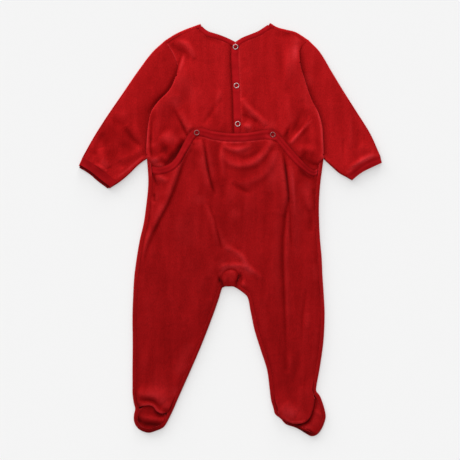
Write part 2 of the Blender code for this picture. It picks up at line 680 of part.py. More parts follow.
# ---------------------------------------------------------------- pieces
def make_front():
    """Front, from the neck to over the feet: flat on the surface, its edges rolled over to the back."""
    side = Roll(ROLL, 1, SEAM_IN - ROLL_OUT)
    shoulder = Roll(ROLL, 1, SHOULDER_IN - ROLL_OUT)
    notch = GUSSET[0].y + ROLL_OUT + GUSSET_UNDER + GAP
    neck = inset(FRONT_NECKLINE, NECK_BAND + GAP)
    neck = clear_of(clear_of(neck, SHOULDER_LEFT, ROLL_OUT), SHOULDER_RIGHT, ROLL_OUT)
    return panel([
        rolled(SHOULDER_LEFT[1:-1], shoulder),
        cut(inset(SEAM_LEFT, GAP / 2)[1:-1]),
        rolled(LEG_LEFT, side),
        cut([(GUSSET[0].x - GAP, notch), (GUSSET[-1].x + GAP, notch)]),
        rolled(LEG_RIGHT, side),
        cut(inset(SEAM_RIGHT[::-1], GAP / 2)[1:-1]),
        rolled(SHOULDER_RIGHT[::-1][1:-1], shoulder),
        cut(neck)],
        lambda x, y: FLOOR_LAYER + 0 * x, step=0)


def make_back_left():
    """Left upper back, the lower one: folded over the sleeve, under the placket and the seat."""
    neck_in, shoulder_in = NECK_BAND + GAP, SHOULDER_IN + GAP
    underlap = between(PLACKET_EDGE[::-1], HEM, 576) + (UNDERLAP, 0)
    folded = even(between(FOLD_LEFT, FOLD_LOW, FOLD_TOP_LEFT), PANEL_STEP)
    return panel([
        cut(clear_of(inset(NECKLINE_LEFT[::-1], neck_in), SHOULDER_LEFT, shoulder_in)),
        cut(inset(SHOULDER_LEFT[1:-1], shoulder_in)),
        cut(clear_of(above(inset(SEAM_LEFT, GAP / 2), SEAM_FREE_LEFT), SHOULDER_LEFT, shoulder_in)),
        rolled(folded, Roll(FOLD_ROLL, -1, FOLD_UNDER)),
        cut(between(FOLD_LEFT, 419, FOLD_LOW - 6), PANEL_STEP),
        cut(inset(np.array([(-132.9, 412.5), (-132.5, 407.5)]), SEAM_IN + GAP)),
        cut([(-117.5, 405.5), (-114, 397), (-112, HEM)]),
        cut([(-112, HEM), (underlap[0][0], HEM)], PANEL_STEP),
        cut(underlap, PANEL_STEP)],
        back_left_height, BACK_LEFT_FOLDS)


def make_back_right():
    """Right upper back, beside the placket band and over the left one."""
    neck_in, shoulder_in = NECK_BAND + GAP, SHOULDER_IN + GAP
    folded = even(between(FOLD_RIGHT, FOLD_LOW, FOLD_TOP_RIGHT)[::-1], PANEL_STEP)
    edge = placket_side(PLACKET_WIDTH + GAP)
    neck = clear_of(inset(NECKLINE_RIGHT, neck_in), SHOULDER_RIGHT, shoulder_in)
    return panel([
        cut([(edge[-1][0], HEM), (112, HEM)], PANEL_STEP),
        cut([(112, HEM), (114.5, 396), (117.0, 400.6)]),
        cut(inset(np.array([(130.6, 403.5), (131.7, 412.5)]), SEAM_IN + GAP)),
        cut(between(FOLD_RIGHT, 419, FOLD_LOW - 6)[::-1], PANEL_STEP),
        rolled(folded, Roll(FOLD_ROLL, -1, FOLD_UNDER)),
        cut(clear_of(above(inset(SEAM_RIGHT[::-1], GAP / 2), SEAM_FREE_RIGHT), SHOULDER_RIGHT, shoulder_in)),
        cut(inset(SHOULDER_RIGHT[::-1][1:-1], shoulder_in)),
        cut(neck[neck[:, 0] > edge[0][0] + 2]),
        cut(edge)],
        back_right_height, BACK_RIGHT_FOLDS)


def placket_side(across):
    """A line down the placket, at a distance from its edge."""
    return even(between(PLACKET_EDGE, HEM, 583), PANEL_STEP) + (across, 0)


def make_placket():
    """Band along the right back's centre edge."""
    left, right = placket_side(0), placket_side(PLACKET_WIDTH)[::-1]
    neck = inset(NECKLINE_RIGHT, NECK_BAND + GAP)
    neck = neck[neck[:, 0] < right[-1][0] - 2][:-1]
    return panel([cut(left), cut([(left[-1][0], HEM), (right[0][0], HEM)]), cut(right), cut(neck),
                  cut(PLACKET_CORNER)], placket_height, step=0, thickness=BAND)


def make_neck_left():
    """Neck band of the left back, which goes on under the right one."""
    low = clear_of(inset(NECKLINE_LEFT[::-1], NECK_BAND), SHOULDER_LEFT, SHOULDER_IN + GAP)[::-1]
    top = clear_of(NECKLINE_LEFT, SHOULDER_LEFT, SHOULDER_IN + GAP)[::-1]
    return panel([cut(top), cut(low)], neck_left_height, step=0, thickness=BAND)


def make_neck_right():
    """Neck band of the right back, up to the placket's edge."""
    low = clear_of(inset(NECKLINE_RIGHT, NECK_BAND), SHOULDER_RIGHT, SHOULDER_IN + GAP)[::-1]
    top = clear_of(NECKLINE_RIGHT, SHOULDER_RIGHT, SHOULDER_IN + GAP)
    return panel([cut(top), cut(low)], neck_right_height, step=0, thickness=BAND)


def make_neck_front():
    """Neck band of the front, its ends rolled over the shoulders."""
    roll = Roll(ROLL, 1, SHOULDER_IN - ROLL_OUT)
    low = clear_of(clear_of(inset(FRONT_NECKLINE, NECK_BAND), SHOULDER_LEFT, 4), SHOULDER_RIGHT, 4)[::-1]
    top = clear_of(clear_of(FRONT_NECKLINE, SHOULDER_LEFT, 4), SHOULDER_RIGHT, 4)
    return panel([
        rolled(even(part_of(SHOULDER_RIGHT, 0, NECK_BAND), NECK_BAND)[::-1], roll, BAND),
        cut(top),
        rolled(even(part_of(SHOULDER_LEFT, 0, NECK_BAND), NECK_BAND), roll, BAND),
        cut(low)],
        lambda x, y: BAND / 2 + 0 * x, step=0, thickness=BAND)


def make_seat():
    """Seat and both back legs, from the band to the heels, round the gusset."""
    seam_in = SEAM_IN + GAP
    low, away = band_lower_edge()
    lowest_left, lowest_right = LEG_LEFT[:, 1].argmin(), LEG_RIGHT[:, 1].argmin()
    left, right = inset(LEG_LEFT, seam_in), inset(LEG_RIGHT, seam_in)
    arch = clear_of(clear_of(inset(GUSSET_SEAM, GAP), LEG_LEFT, seam_in), LEG_RIGHT, seam_in)
    return panel([
        cut(between(left[:lowest_left], 46, 391)),
        cut(HEELS[0]),
        cut(clear_of(between(left[lowest_left:], 40, 232), GUSSET_SEAM, 2)),
        cut(arch),
        cut(clear_of(between(right[:lowest_right], 42, 232), GUSSET_SEAM, 2)),
        cut(HEELS[1]),
        cut(between(right[lowest_right:], 74, 389)),
        cut((low + away * GAP)[::-1])],
        seat_height, SEAT_FOLDS)


def band_lower_edge():
    """Lower edge of the seat's band, and the direction away from the band at each point."""
    low = np.array([(row.low_x, row.low_y) for row in SEAT_BAND])
    top = np.array([(row.top_x, row.top_y) for row in SEAT_BAND])
    edge = smooth_curve(low, BAND_STEP)
    return edge, -normals_left(edge)


def make_seat_band():
    """Band that binds the top edge of the seat."""
    low, _ = band_lower_edge()
    top = smooth_curve([(row.top_x, row.top_y) for row in SEAT_BAND], BAND_STEP)
    return panel([cut(low), cut(top[::-1])], seat_band_height, step=0, thickness=BAND)


def make_gusset():
    """Gusset: from its seam on the back, round the crotch's edge and in under the front."""
    arch = between(GUSSET_SEAM[::-1], GUSSET[0].y + ROLL_OUT + 1, 260)
    crotch = np.array([(GUSSET[0].x, GUSSET[0].y), ((GUSSET[0].x + GUSSET[-1].x) / 2, GUSSET[0].y),
                       (GUSSET[-1].x, GUSSET[-1].y)])
    return panel([cut(arch), rolled(crotch, Roll(ROLL, -1, GUSSET_UNDER))],
                 lambda x, y: SEAM_LAYER + 0.5 * ease(y, *GUSSET_RISE), step=GUSSET_FILL)


def make_sole_left():
    foot = inset(LEG_LEFT, SEAM_IN + GAP)
    lowest = LEG_LEFT[:, 1].argmin()
    outer, inner = between(foot[:lowest], 0, 40), between(foot[lowest:], 0, 31)
    return panel([cut(outer), cut(inner), cut(SOLE_HIDDEN_LEFT)], sole_height, step=SOLE_FILL)


def make_sole_right():
    foot = inset(LEG_RIGHT, SEAM_IN + GAP)
    lowest = LEG_RIGHT[:, 1].argmin()
    inner, outer = foot[:lowest][foot[:lowest, 0] > 74], foot[lowest:]
    inner, outer = between(inner, 0, 30), between(outer, 0, 60)
    return panel([cut(inner), cut(outer), cut(SOLE_HIDDEN_RIGHT)], sole_height, step=SOLE_FILL)


def flat_tube(start, end, outer, inner, side, height, rows, thickness, lip=0.0):
    """Rings of a tube that lies flat: start and end are the lines across it, outer and inner its edges.

    The lower layer is on the surface, the upper one at its height, and the edges are rolled.
    lip is the share of its length by which the upper layer is shorter than the lower.
    """
    floor = thickness / 2
    outer, inner = even_count(outer, rows), even_count(inner, rows)
    rates = np.linspace(0, 1, rows + 1)[:, None]
    across_outer = unit((1 - rates) * (start[1] - start[0]) + rates * (end[1] - end[0]))
    across_inner = unit((1 - rates) * (start[-2] - start[-1]) + rates * (end[-2] - end[-1]))
    roll_outer = across_outer / slant(across_outer, normals_left(outer))
    roll_inner = across_inner / slant(across_inner, normals_left(inner))
    outer_in = outer + roll_outer * (ROLL + thickness / 2)
    inner_in = inner + roll_inner * (ROLL + thickness / 2 + GAP)
    start, end = start.copy(), end.copy()
    start[0], start[-1], end[0], end[-1] = outer_in[0], inner_in[0], outer_in[-1], inner_in[-1]
    columns = len(start) - 1

    def place(s, t):
        """Point of the flat patch that the four edges span."""
        row, column = t * rows, s * columns
        i, j = min(int(row), rows - 1), min(int(column), columns - 1)
        at_outer = outer_in[i] + (outer_in[i + 1] - outer_in[i]) * (row - i)
        at_inner = inner_in[i] + (inner_in[i + 1] - inner_in[i]) * (row - i)
        at_start = start[j] + (start[j + 1] - start[j]) * (column - j)
        at_end = end[j] + (end[j + 1] - end[j]) * (column - j)
        corners = ((1 - s) * (1 - t) * start[0] + s * (1 - t) * start[-1]
                   + (1 - s) * t * end[0] + s * t * end[-1])
        return (1 - t) * at_start + t * at_end + (1 - s) * at_outer + s * at_inner - corners

    lower, upper, rolls_inner, rolls_outer = [], [], [], []
    for row in range(rows + 1):
        t = row / rows
        t_top = t * (1 - lip)
        lower.append([(*place(c / columns, t), floor) for c in range(columns + 1)])
        upper.append([place(c / columns, t_top) for c in range(columns, -1, -1)])
        rolls_inner.append(roll_points(place(1, (t + t_top) / 2), -roll_inner[row], floor))
        rolls_outer.append(roll_points(place(0, (t + t_top) / 2), -roll_outer[row], floor)[::-1])
    flat = np.array(upper).reshape(-1, 2)
    raised = np.column_stack((flat, height(flat[:, 0], flat[:, 1]))).reshape(rows + 1, -1, 3)
    rings = [low + inside + [tuple(p) for p in up] + outside
             for low, inside, up, outside in zip(lower, rolls_inner, raised, rolls_outer)]
    return tube([ring[::-1] for ring in rings] if side > 0 else rings, thickness)


def unit(vectors):
    return vectors / np.linalg.norm(vectors, axis=1)[:, None]


def slant(across, normals):
    """How squarely a line across a tube meets its edge."""
    return np.clip(np.abs((across * normals).sum(axis=1)), 0.6, 1)[:, None]


def even_count(curve, count):
    length = np.linalg.norm(np.diff(curve, axis=0), axis=1).sum()
    return even(curve, length / count)


def roll_points(base, outward, floor):
    """Points round a rolled edge between its lower and upper layer."""
    points = []
    for k in range(1, ROLL_STEPS):
        angle = math.pi * k / ROLL_STEPS
        x, y = base + outward * ROLL * math.sin(angle)
        points.append((x, y, floor + ROLL * (1 - math.cos(angle))))
    return points


def make_sleeve(side, rows, seam, fold, cuff, top):
    outer = smooth_curve([(row.outer_x, row.outer_y) for row in rows])
    inner = smooth_curve([(row.inner_x, row.inner_y) for row in rows])
    start = inset(seam, side * GAP / 2)
    end = even_count(smooth_curve([(row.seam_x, row.seam_y) for row in cuff]), len(start) - 1)
    height = lambda x, y: (sleeve_height(x, y, (outer, inner), fold, side, top)
                           + folds_height(x, y, SLEEVE_FOLDS))
    return flat_tube(start, end, outer, inner, side, height, SLEEVE_ROWS, CLOTH)


def make_cuff(side, rows, lip):
    seam = smooth_curve([(row.seam_x, row.seam_y) for row in rows])
    mouth = smooth_curve([(row.mouth_x, row.mouth_y) for row in rows])
    outer, inner = np.array([seam[0], mouth[0]]), np.array([seam[-1], mouth[-1]])
    length = math.dist(seam[len(seam) // 2], mouth[len(mouth) // 2])
    outer[0] += (outer[1] - outer[0]) * 2 * GAP / length
    inner[0] += (inner[1] - inner[0]) * 2 * GAP / length
    start = even_count(seam + (mouth.mean(axis=0) - seam.mean(axis=0)) * 2 * GAP / length, CUFF_COLUMNS)
    return flat_tube(start, even_count(mouth, CUFF_COLUMNS), outer, inner, side,
                     lambda x, y: BAND / 2 + 2 * ROLL + 0 * x, CUFF_ROWS, BAND, lip / length)


def make_snap(snap):
    """Ring of a snap, lying on its band."""
    across = np.linspace(0, 2 * math.pi, RING_STEPS, endpoint=False)
    around_x, around_y = snap.x + SNAP_OUTER / 2 * np.cos(across), snap.y + SNAP_OUTER / 2 * np.sin(across)
    level = placket_height if snap.piece == "placket" else seat_band_height
    base = level(around_x, around_y).max() + BAND / 2 + GAP
    inner, outer = SNAP_HOLE / 2, SNAP_OUTER / 2
    bevel = SNAP_HEIGHT / 3
    profile = [(inner, 0), (outer, 0), (outer, SNAP_HEIGHT - bevel), (outer - bevel, SNAP_HEIGHT),
               (inner + bevel, SNAP_HEIGHT), (inner, SNAP_HEIGHT - bevel)]
    points, faces = [], []
    for angle in across:
        points += [(snap.x + r * math.cos(angle), snap.y + r * math.sin(angle), base + z) for r, z in profile]
    size = len(profile)
    for i in range(RING_STEPS):
        j = (i + 1) % RING_STEPS
        for k in range(size):
            m = (k + 1) % size
            faces.append((i * size + k, j * size + k, j * size + m, i * size + m))
    return np.array(points), faces


PIECES = {
    "front": make_front,
    "upper_back_left": make_back_left,
    "upper_back_right": make_back_right,
    "placket_band": make_placket,
    "neck_band_front": make_neck_front,
    "neck_band_back_left": make_neck_left,
    "neck_band_back_right": make_neck_right,
    "seat": make_seat,
    "seat_band": make_seat_band,
    "gusset": make_gusset,
    "sole_left": make_sole_left,
    "sole_right": make_sole_right,
    "sleeve_left": lambda: make_sleeve(-1, SLEEVE_LEFT, SEAM_LEFT, FOLD_LEFT, CUFF_LEFT, FOLD_TOP_LEFT),
    "sleeve_right": lambda: make_sleeve(1, SLEEVE_RIGHT, SEAM_RIGHT, FOLD_RIGHT, CUFF_RIGHT, FOLD_TOP_RIGHT),
    "cuff_left": lambda: make_cuff(-1, CUFF_LEFT, CUFF_LIP_LEFT),
    "cuff_right": lambda: make_cuff(1, CUFF_RIGHT, 0.0),
}


# ---------------------------------------------------------------- objects
def material(name, colour, roughness, metallic=0.0):
    made = bpy.data.materials.new(name)
    made.use_nodes = True
    shader = made.node_tree.nodes["Principled BSDF"]
    shader.inputs["Base Color"].default_value = colour
    shader.inputs["Roughness"].default_value = roughness
    shader.inputs["Metallic"].default_value = metallic
    return made


def add_object(name, points, faces, finish, parent):
    """An object whose origin is the middle of its own box."""
    middle = (points.min(axis=0) + points.max(axis=0)) / 2
    mesh = bpy.data.meshes.new(name)
    corners = [tuple(p) for p in (points - middle) * MM]
    mesh.from_pydata(corners, [], [tuple(int(i) for i in face) for face in faces])
    mesh.materials.append(finish)
    mesh.shade_smooth()
    mesh.set_sharp_from_angle(angle=math.radians(45))
    thing = bpy.data.objects.new(name, mesh)
    thing.location = Vector(middle * MM)
    thing.parent = parent
    bpy.context.scene.collection.objects.link(thing)
    return thing


def main():
    for leftover in list(bpy.data.objects):
        bpy.data.objects.remove(leftover, do_unlink=True)
    velour = material("red velour", RED, 0.85)
    jersey = material("red jersey band", RED_BAND, 0.75)
    steel = material("steel", STEEL, 0.3, 1.0)
    suit = bpy.data.objects.new("sleepsuit", None)
    bpy.context.scene.collection.objects.link(suit)
    shapes = {name: make() for name, make in PIECES.items()}
    shapes.update({snap.name: make_snap(snap) for snap in SNAPS})
    everything = np.vstack([points for points, _ in shapes.values()])
    low, high = everything.min(axis=0), everything.max(axis=0)
    foot_print = np.array([(low[0] + high[0]) / 2, (low[1] + high[1]) / 2, low[2]])
    for name, (points, faces) in shapes.items():
        finish = steel if name.startswith("snap") else jersey if "band" in name or "cuff" in name else velour
        add_object(name, points - foot_print, faces, finish, suit)


main()
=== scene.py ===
"""Looks of the baby sleepsuit: the cloth, bands and snaps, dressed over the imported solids.

Sizes are in millimetres in the garment's own frame: x to the right, y from the toes to the neck,
z up from the surface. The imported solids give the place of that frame. Each piece is a fine mesh on
the form of its solid, with creases, puckers and grooves added to its height.
"""
import math
from collections import namedtuple

import bpy
import numpy as np
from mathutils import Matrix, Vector
from mathutils.geometry import delaunay_2d_cdt

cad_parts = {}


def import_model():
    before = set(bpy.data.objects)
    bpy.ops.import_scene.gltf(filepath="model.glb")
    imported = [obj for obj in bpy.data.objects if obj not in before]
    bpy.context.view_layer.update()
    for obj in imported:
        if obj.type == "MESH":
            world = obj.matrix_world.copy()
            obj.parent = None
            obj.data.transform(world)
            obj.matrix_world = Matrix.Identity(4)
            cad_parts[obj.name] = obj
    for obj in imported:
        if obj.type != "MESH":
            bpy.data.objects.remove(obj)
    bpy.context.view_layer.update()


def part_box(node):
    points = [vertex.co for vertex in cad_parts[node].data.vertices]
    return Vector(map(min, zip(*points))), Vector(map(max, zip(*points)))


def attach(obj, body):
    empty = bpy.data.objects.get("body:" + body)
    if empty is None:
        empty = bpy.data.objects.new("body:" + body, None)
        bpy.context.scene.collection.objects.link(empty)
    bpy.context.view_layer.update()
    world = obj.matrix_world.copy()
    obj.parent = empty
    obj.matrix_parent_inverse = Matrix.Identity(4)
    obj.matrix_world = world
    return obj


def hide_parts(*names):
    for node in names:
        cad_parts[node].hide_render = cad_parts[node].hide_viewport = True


MM = 0.001

# Cloth and seams, as in the solids
CLOTH = 1.6
BAND = 2.1
GAP = 0.02
LAYER = CLOTH + 0.45
ROLL = 1.9
ROLL_OUT = ROLL + CLOTH / 2
FLOOR_LAYER = CLOTH / 2
SEAM_LAYER = FLOOR_LAYER + 2 * ROLL
SEAM_IN = 6.0
SHOULDER_IN = 5.0

# Sampling
STEP = 1.9                      # along cut edges and inside the panels
HIDDEN_STEP = 9.0               # inside the front, which is flat
SMALL_STEP = 2.0                # inside the gusset and across the cuffs
FOLD_STEP = 4.0                 # along a crease
FINE_STEP = 0.2                 # where one curve is kept clear of another
KNOT_STEPS = 17                 # between two given points of a smooth curve
END_GAP = 0.5                   # points of a stretch are at least this far from its ends
MERGE = 0.9                     # points of an outline that are nearer than this are one
ROLL_STEPS = 8                  # round a rolled edge
RIBBON_STEPS = 15               # across a band
RIM_CLEAR = 0.6 * STEP          # inner points are at least this far from the rim
CREASE_CELL = 1.3               # and points of creases about this far from each other
TOLERANCE = 1e-6
TINY = 1e-9
INSIDE_ONLY = 1                 # the triangulation's mode that keeps what is inside the outline
EDGE = 0.05                     # a seam's edges are rounded over this far
FREE_EDGE = 0.7                 # and a free edge over this far
LEAST_SLANT = 0.6               # a line across a tube meets its edge no less squarely than this
SHARP = 3.6                     # the mesh follows creases narrower than this
SHARP_ANGLE = 55                # faces that meet at more than this aren't shaded as one
RELIEF_ROUNDS = 40              # relief is measured against the cloth smoothed this many times
RELIEF_HEIGHT = 1.3             # and is full at this height

# Creases and unevenness
FLANKS = (0.8, 1.7)             # the mesh follows a sharp crease at these shares of its width
FADE = 3                        # a crease has faded at this many times its width
SWELL = 0.55                    # the lower, the fuller a crease is along its length
GROOVE = 1.6                    # how wide the groove of a seam is
PUCKERS_IN = 2.5                # puckers are full from this far beside it
NOISE_CELLS = 64                # the noise repeats after this many cells
NOISE_SHIFT = 500               # keeps the numbers of its cells above 0
NOISE_GAIN = 1.5                # brings it to about -1 to 1

# Bands and snaps
FREE_SLOPE = 3                  # how fast a band's free edge thickens on its lower side
THINNEST = 0.03                 # and its least share of the thickness
BAND_SHADE_LEVEL = 0.85           # the share of the thickness where a band's painted shade is level
BAND_SHADE_SLOPE = 2              # how fast the painted shade changes with that share
BAND_HIGHLIGHT_MOST = 0.3             # and the lightest that its painted highlight gets
NECK_BAND = 7.5
PLACKET_WIDTH = 10.5
FRONT_NECK_DEPTH = 50.0
FRONT_NECK_ROUND = 2.2
FRONT_NECK_POINTS = 17
SNAP_OUTER = 8.1
SNAP_HOLE = 6.0
SNAP_HEIGHT = 1.2
SNAP_SUNK = 0.25
SNAP_AROUND = 64
SNAP_PROFILE = 20
SNAP_ROUND = 0.75

Point = namedtuple("Point", "x y")
# A crease: the points of its line, how high it rises (or sinks, where it is negative), its width on the
# left and on the right of that line's direction, and at what share of its length it is highest
Fold = namedtuple("Fold", "line rise left right peak")


def table(kind, *rows):
    return [kind(*row) for row in rows]


def path(*numbers):
    """Points, from x and y in turn."""
    return table(Point, *zip(numbers[::2], numbers[1::2]))


def fold_table(*rows):
    """Creases. A row holds the line as x and y in turn, the rise and the left width, then the right width
    where it differs from the left, and then the peak where it isn't halfway."""
    made = []
    for line, rise, left, *rest in rows:
        right, peak = (*rest, *(left, 0.5)[len(rest):])
        made.append(Fold(path(*line), rise, left, right, peak))
    return made


Side = namedtuple("Side", "height left right")
# Outer edges of body and legs, from the underarm to the ankle
SIDES = table(
    Side,
    (415.5, -133.2, 132.3),
    (400, -131.8, 130.2),
    (385, -131.0, 128.2),
    (369, -131.6, 126.6),
    (345, -134.3, 125.4),
    (320, -137.8, 125.8),
    (295, -143.6, 127.1),
    (268, -148.3, 129.5),
    (240, -152.0, 130.8),
    (210, -153.8, 132.8),
    (180, -154.8, 134.0),
    (140, -154.5, 132.0),
    (100, -154.8, 126.3),
    (74, -154.8, 121.6))
# Inner edges of the legs, from the crotch to the ankle
INSEAMS = table(
    Side,
    (223, -18.0, -1.0),
    (222.2, -19.8, 0.8),
    (216, -22.0, 10.0),
    (208, -24.3, 18.0),
    (189, -30.8, 22.2),
    (159, -42.0, 28.5),
    (129, -54.0, 37.8),
    (99, -67.0, 47.3),
    (72, -79.0, 51.0),
    (54, -87.0, 53.3))

# Edge of each foot: the left from its outer to its inner ankle, the right the other way round
FOOT_LEFT = path(
    -154.8, 64, -153, 50, -150.8, 40.5, -152.7, 31, -152.5, 22, -148.6, 13.5, -141.5, 7.5, -130, 4.4,
    -119.5, 7.3, -109, 12, -104, 18, -97.5, 30.5, -92.5, 41)
FOOT_RIGHT = path(
    57, 41, 59.5, 32.5, 68, 25.5, 75.3, 17.5, 86.7, 13.4, 93.8, 10.5, 106.5, 2.8, 114.2, -0.8, 122.3, 1.5,
    128.7, 9, 133.5, 19.5, 135.6, 29, 134, 39, 130.8, 50, 126.3, 60.8, 121.5, 67)
# Lower edge of each back leg, where it laps over the sole
HEEL_LEFT = path(
    -144.2, 42.4, -140, 44.8, -134, 46, -127.5, 46, -122.5, 43.5, -118, 37.5, -110.5, 33.9, -104.2, 34.2)
HEEL_RIGHT = path(
    63.5, 35, 69.5, 27.5, 77, 21.5, 86.5, 18.7, 96.5, 18.7, 105.5, 21.6, 111.5, 28, 115, 37, 117.5, 47,
    118.5, 57)
# Edge of each sole that is hidden below the back leg
SOLE_HIDDEN_LEFT = path(
    -105, 32.4, -110, 32.4, -114, 38.5, -118.5, 46, -124, 52.5, -131, 54, -135, 50, -139.8, 42.9, -144.2,
    41)
SOLE_HIDDEN_RIGHT = path(
    110, 55, 108, 47, 105.5, 38, 102, 31.5, 97, 27.5, 90, 26.8, 82, 28.5, 77, 31)

Shoulder = namedtuple("Shoulder", "left_x left_y right_x right_y")
# Shoulder edges, from the neck to the armhole
SHOULDERS = table(
    Shoulder,
    (-52.5, 618.5, 52.0, 620.0),
    (-64.0, 614.5, 62.5, 613.8),
    (-76.0, 610.0, 75.0, 610.3),
    (-91.0, 603.0, 91.0, 606.0),
    (-106.0, 593.5, 110.0, 594.0))

Armhole = namedtuple("Armhole", "height left_seam left_fold right_seam right_fold")
# Armhole seams, and the folds of the back that lie over the sleeves
ARMHOLES = table(
    Armhole,
    (593.5, -106.0, -106.0, 110.0, 110.0),
    (586, -101.5, -101.5, 101.0, 101.0),
    (577, -96.0, -96.0, 96.0, 96.4),
    (566, -90.5, -90.5, 94.6, 96.2),
    (552, -86.0, -86.8, 94.3, 98.2),
    (535, -87.0, -90.8, 95.3, 103.5),
    (518, -91.3, -99.6, 98.3, 108.8),
    (502, -101.0, -115.3, 103.6, 115.0),
    (486, -113.0, -126.2, 112.0, 123.6),
    (466, -120.0, -130.8, 118.7, 129.6),
    (444, -126.5, -133.0, 125.0, 131.2),
    (428, -130.5, -133.8, 129.0, 131.8),
    (415.5, -133.2, -133.8, 132.3, 132.4))

Sleeve = namedtuple("Sleeve", "outer_x outer_y inner_x inner_y")
# Edges of each sleeve, from the armhole to the cuff's seam
SLEEVE_LEFT = table(
    Sleeve,
    (-106, 593.5, -133.2, 415.5),
    (-125, 576.0, -139.5, 411.5),
    (-147, 547.0, -148.0, 404.5),
    (-170, 513.5, -157.5, 395.0),
    (-193, 480.0, -166.0, 387.3),
    (-213, 448.5, -171.5, 382.8),
    (-229.8, 418.5, -175.8, 379.6))
SLEEVE_RIGHT = table(
    Sleeve,
    (110, 594.0, 132.3, 415.5),
    (127, 576.0, 137.0, 411.0),
    (145, 546.0, 143.5, 405.0),
    (163, 516.5, 150.5, 398.5),
    (182, 486.5, 156.0, 394.0),
    (202, 454.5, 160.5, 391.3),
    (217.5, 420.5, 164.8, 389.2))

Cuff = namedtuple("Cuff", "seam_x seam_y mouth_x mouth_y")
# Sections along each cuff, from the outer to the inner edge of the sleeve
CUFF_LEFT = table(
    Cuff,
    (-229.8, 418.5, -236.2, 403.5),
    (-211.0, 406.7, -220.0, 393.5),
    (-194.0, 394.6, -206.5, 382.0),
    (-175.8, 379.6, -190.5, 370.3))
CUFF_RIGHT = table(
    Cuff,
    (217.5, 420.5, 219.8, 409.9),
    (201.0, 414.2, 204.0, 402.6),
    (185.0, 405.6, 189.5, 395.2),
    (164.8, 389.2, 174.5, 383.6))
CUFF_LIP_LEFT = 4.6
CUFF_MOUTH_OPEN = 1.4
CUFF_ROWS = 8
UNDER_SEAM_IN = 5.0

# Neckline of each half of the back, from the shoulder to its end at the placket
NECK_LEFT = path(
    -52.5, 618.5, -47.5, 612, -40, 607, -25.5, 602.5, -13.5, 598, -4.5, 593.7, 1, 590.8, 8, 588.5)
NECK_RIGHT = path(
    52, 620, 47, 616, 41, 612, 34, 607.5, 22, 602.5, 10, 597.6, 2.5, 593, -1.8, 589.7, -5.6, 587.4)

Placket = namedtuple("Placket", "height edge")
PLACKET = table(
    Placket,
    (587, -6.2), (572, -6.8), (555, -6.4), (534, -5.2), (504, -4.0), (474, -3.0), (447, -2.0),
    (420, -1.2), (384, 0.0))
PLACKET_TOP = 583.0
UNDERLAP = 14.0
UNDERLAP_TOP = 576.0
HEM = 384.0

SeatBand = namedtuple("SeatBand", "top_x top_y low_x low_y")
# Sections along the seat's band, from the left side seam to the right
SEAT_BAND = table(
    SeatBand,
    (-125.2, 405.3, -124.6, 393.2),
    (-118.0, 403.6, -117.5, 391.8),
    (-108.3, 404.4, -106.5, 393.2),
    (-99.0, 408.0, -93.8, 398.0),
    (-91.0, 415.5, -84.0, 407.3),
    (-82.8, 429.0, -75.0, 422.3),
    (-74.3, 445.5, -65.3, 438.8),
    (-67.5, 455.5, -60.8, 446.4),
    (-59.5, 460.6, -56.5, 449.6),
    (-47.3, 460.8, -46.5, 448.0),
    (-35.5, 457.6, -36.8, 445.0),
    (-15.5, 454.4, -15.8, 441.8),
    (4.0, 453.6, 3.8, 441.2),
    (22.0, 455.0, 22.5, 442.3),
    (41.5, 458.6, 42.0, 444.4),
    (53.0, 459.6, 53.2, 445.0),
    (62.0, 456.0, 60.8, 440.8),
    (70.0, 447.0, 66.5, 434.5),
    (79.3, 435.6, 73.5, 425.5),
    (97.5, 415.0, 90.5, 406.5),
    (111.0, 401.8, 105.5, 394.5),
    (119.0, 398.8, 116.5, 389.0),
    (123.4, 401.6, 122.0, 391.0))

# Gusset between the legs: its seam on the back, from the left to the right end of the crotch
GUSSET = path(
    -18, 223, -20.8, 231, -20.6, 239, -16.5, 246.3, -10.5, 249.7, -5, 250.6, 0.5, 248.6, 4.8, 243, 4.2,
    234.5, -1, 223)
# Edge of the crotch between the legs, where the gusset folds under
CROTCH = path(
    -18, 223, -16.3, 223.85, -10, 224.1, -3.2, 223.95, -1, 223)
GUSSET_UNDER = 9.0
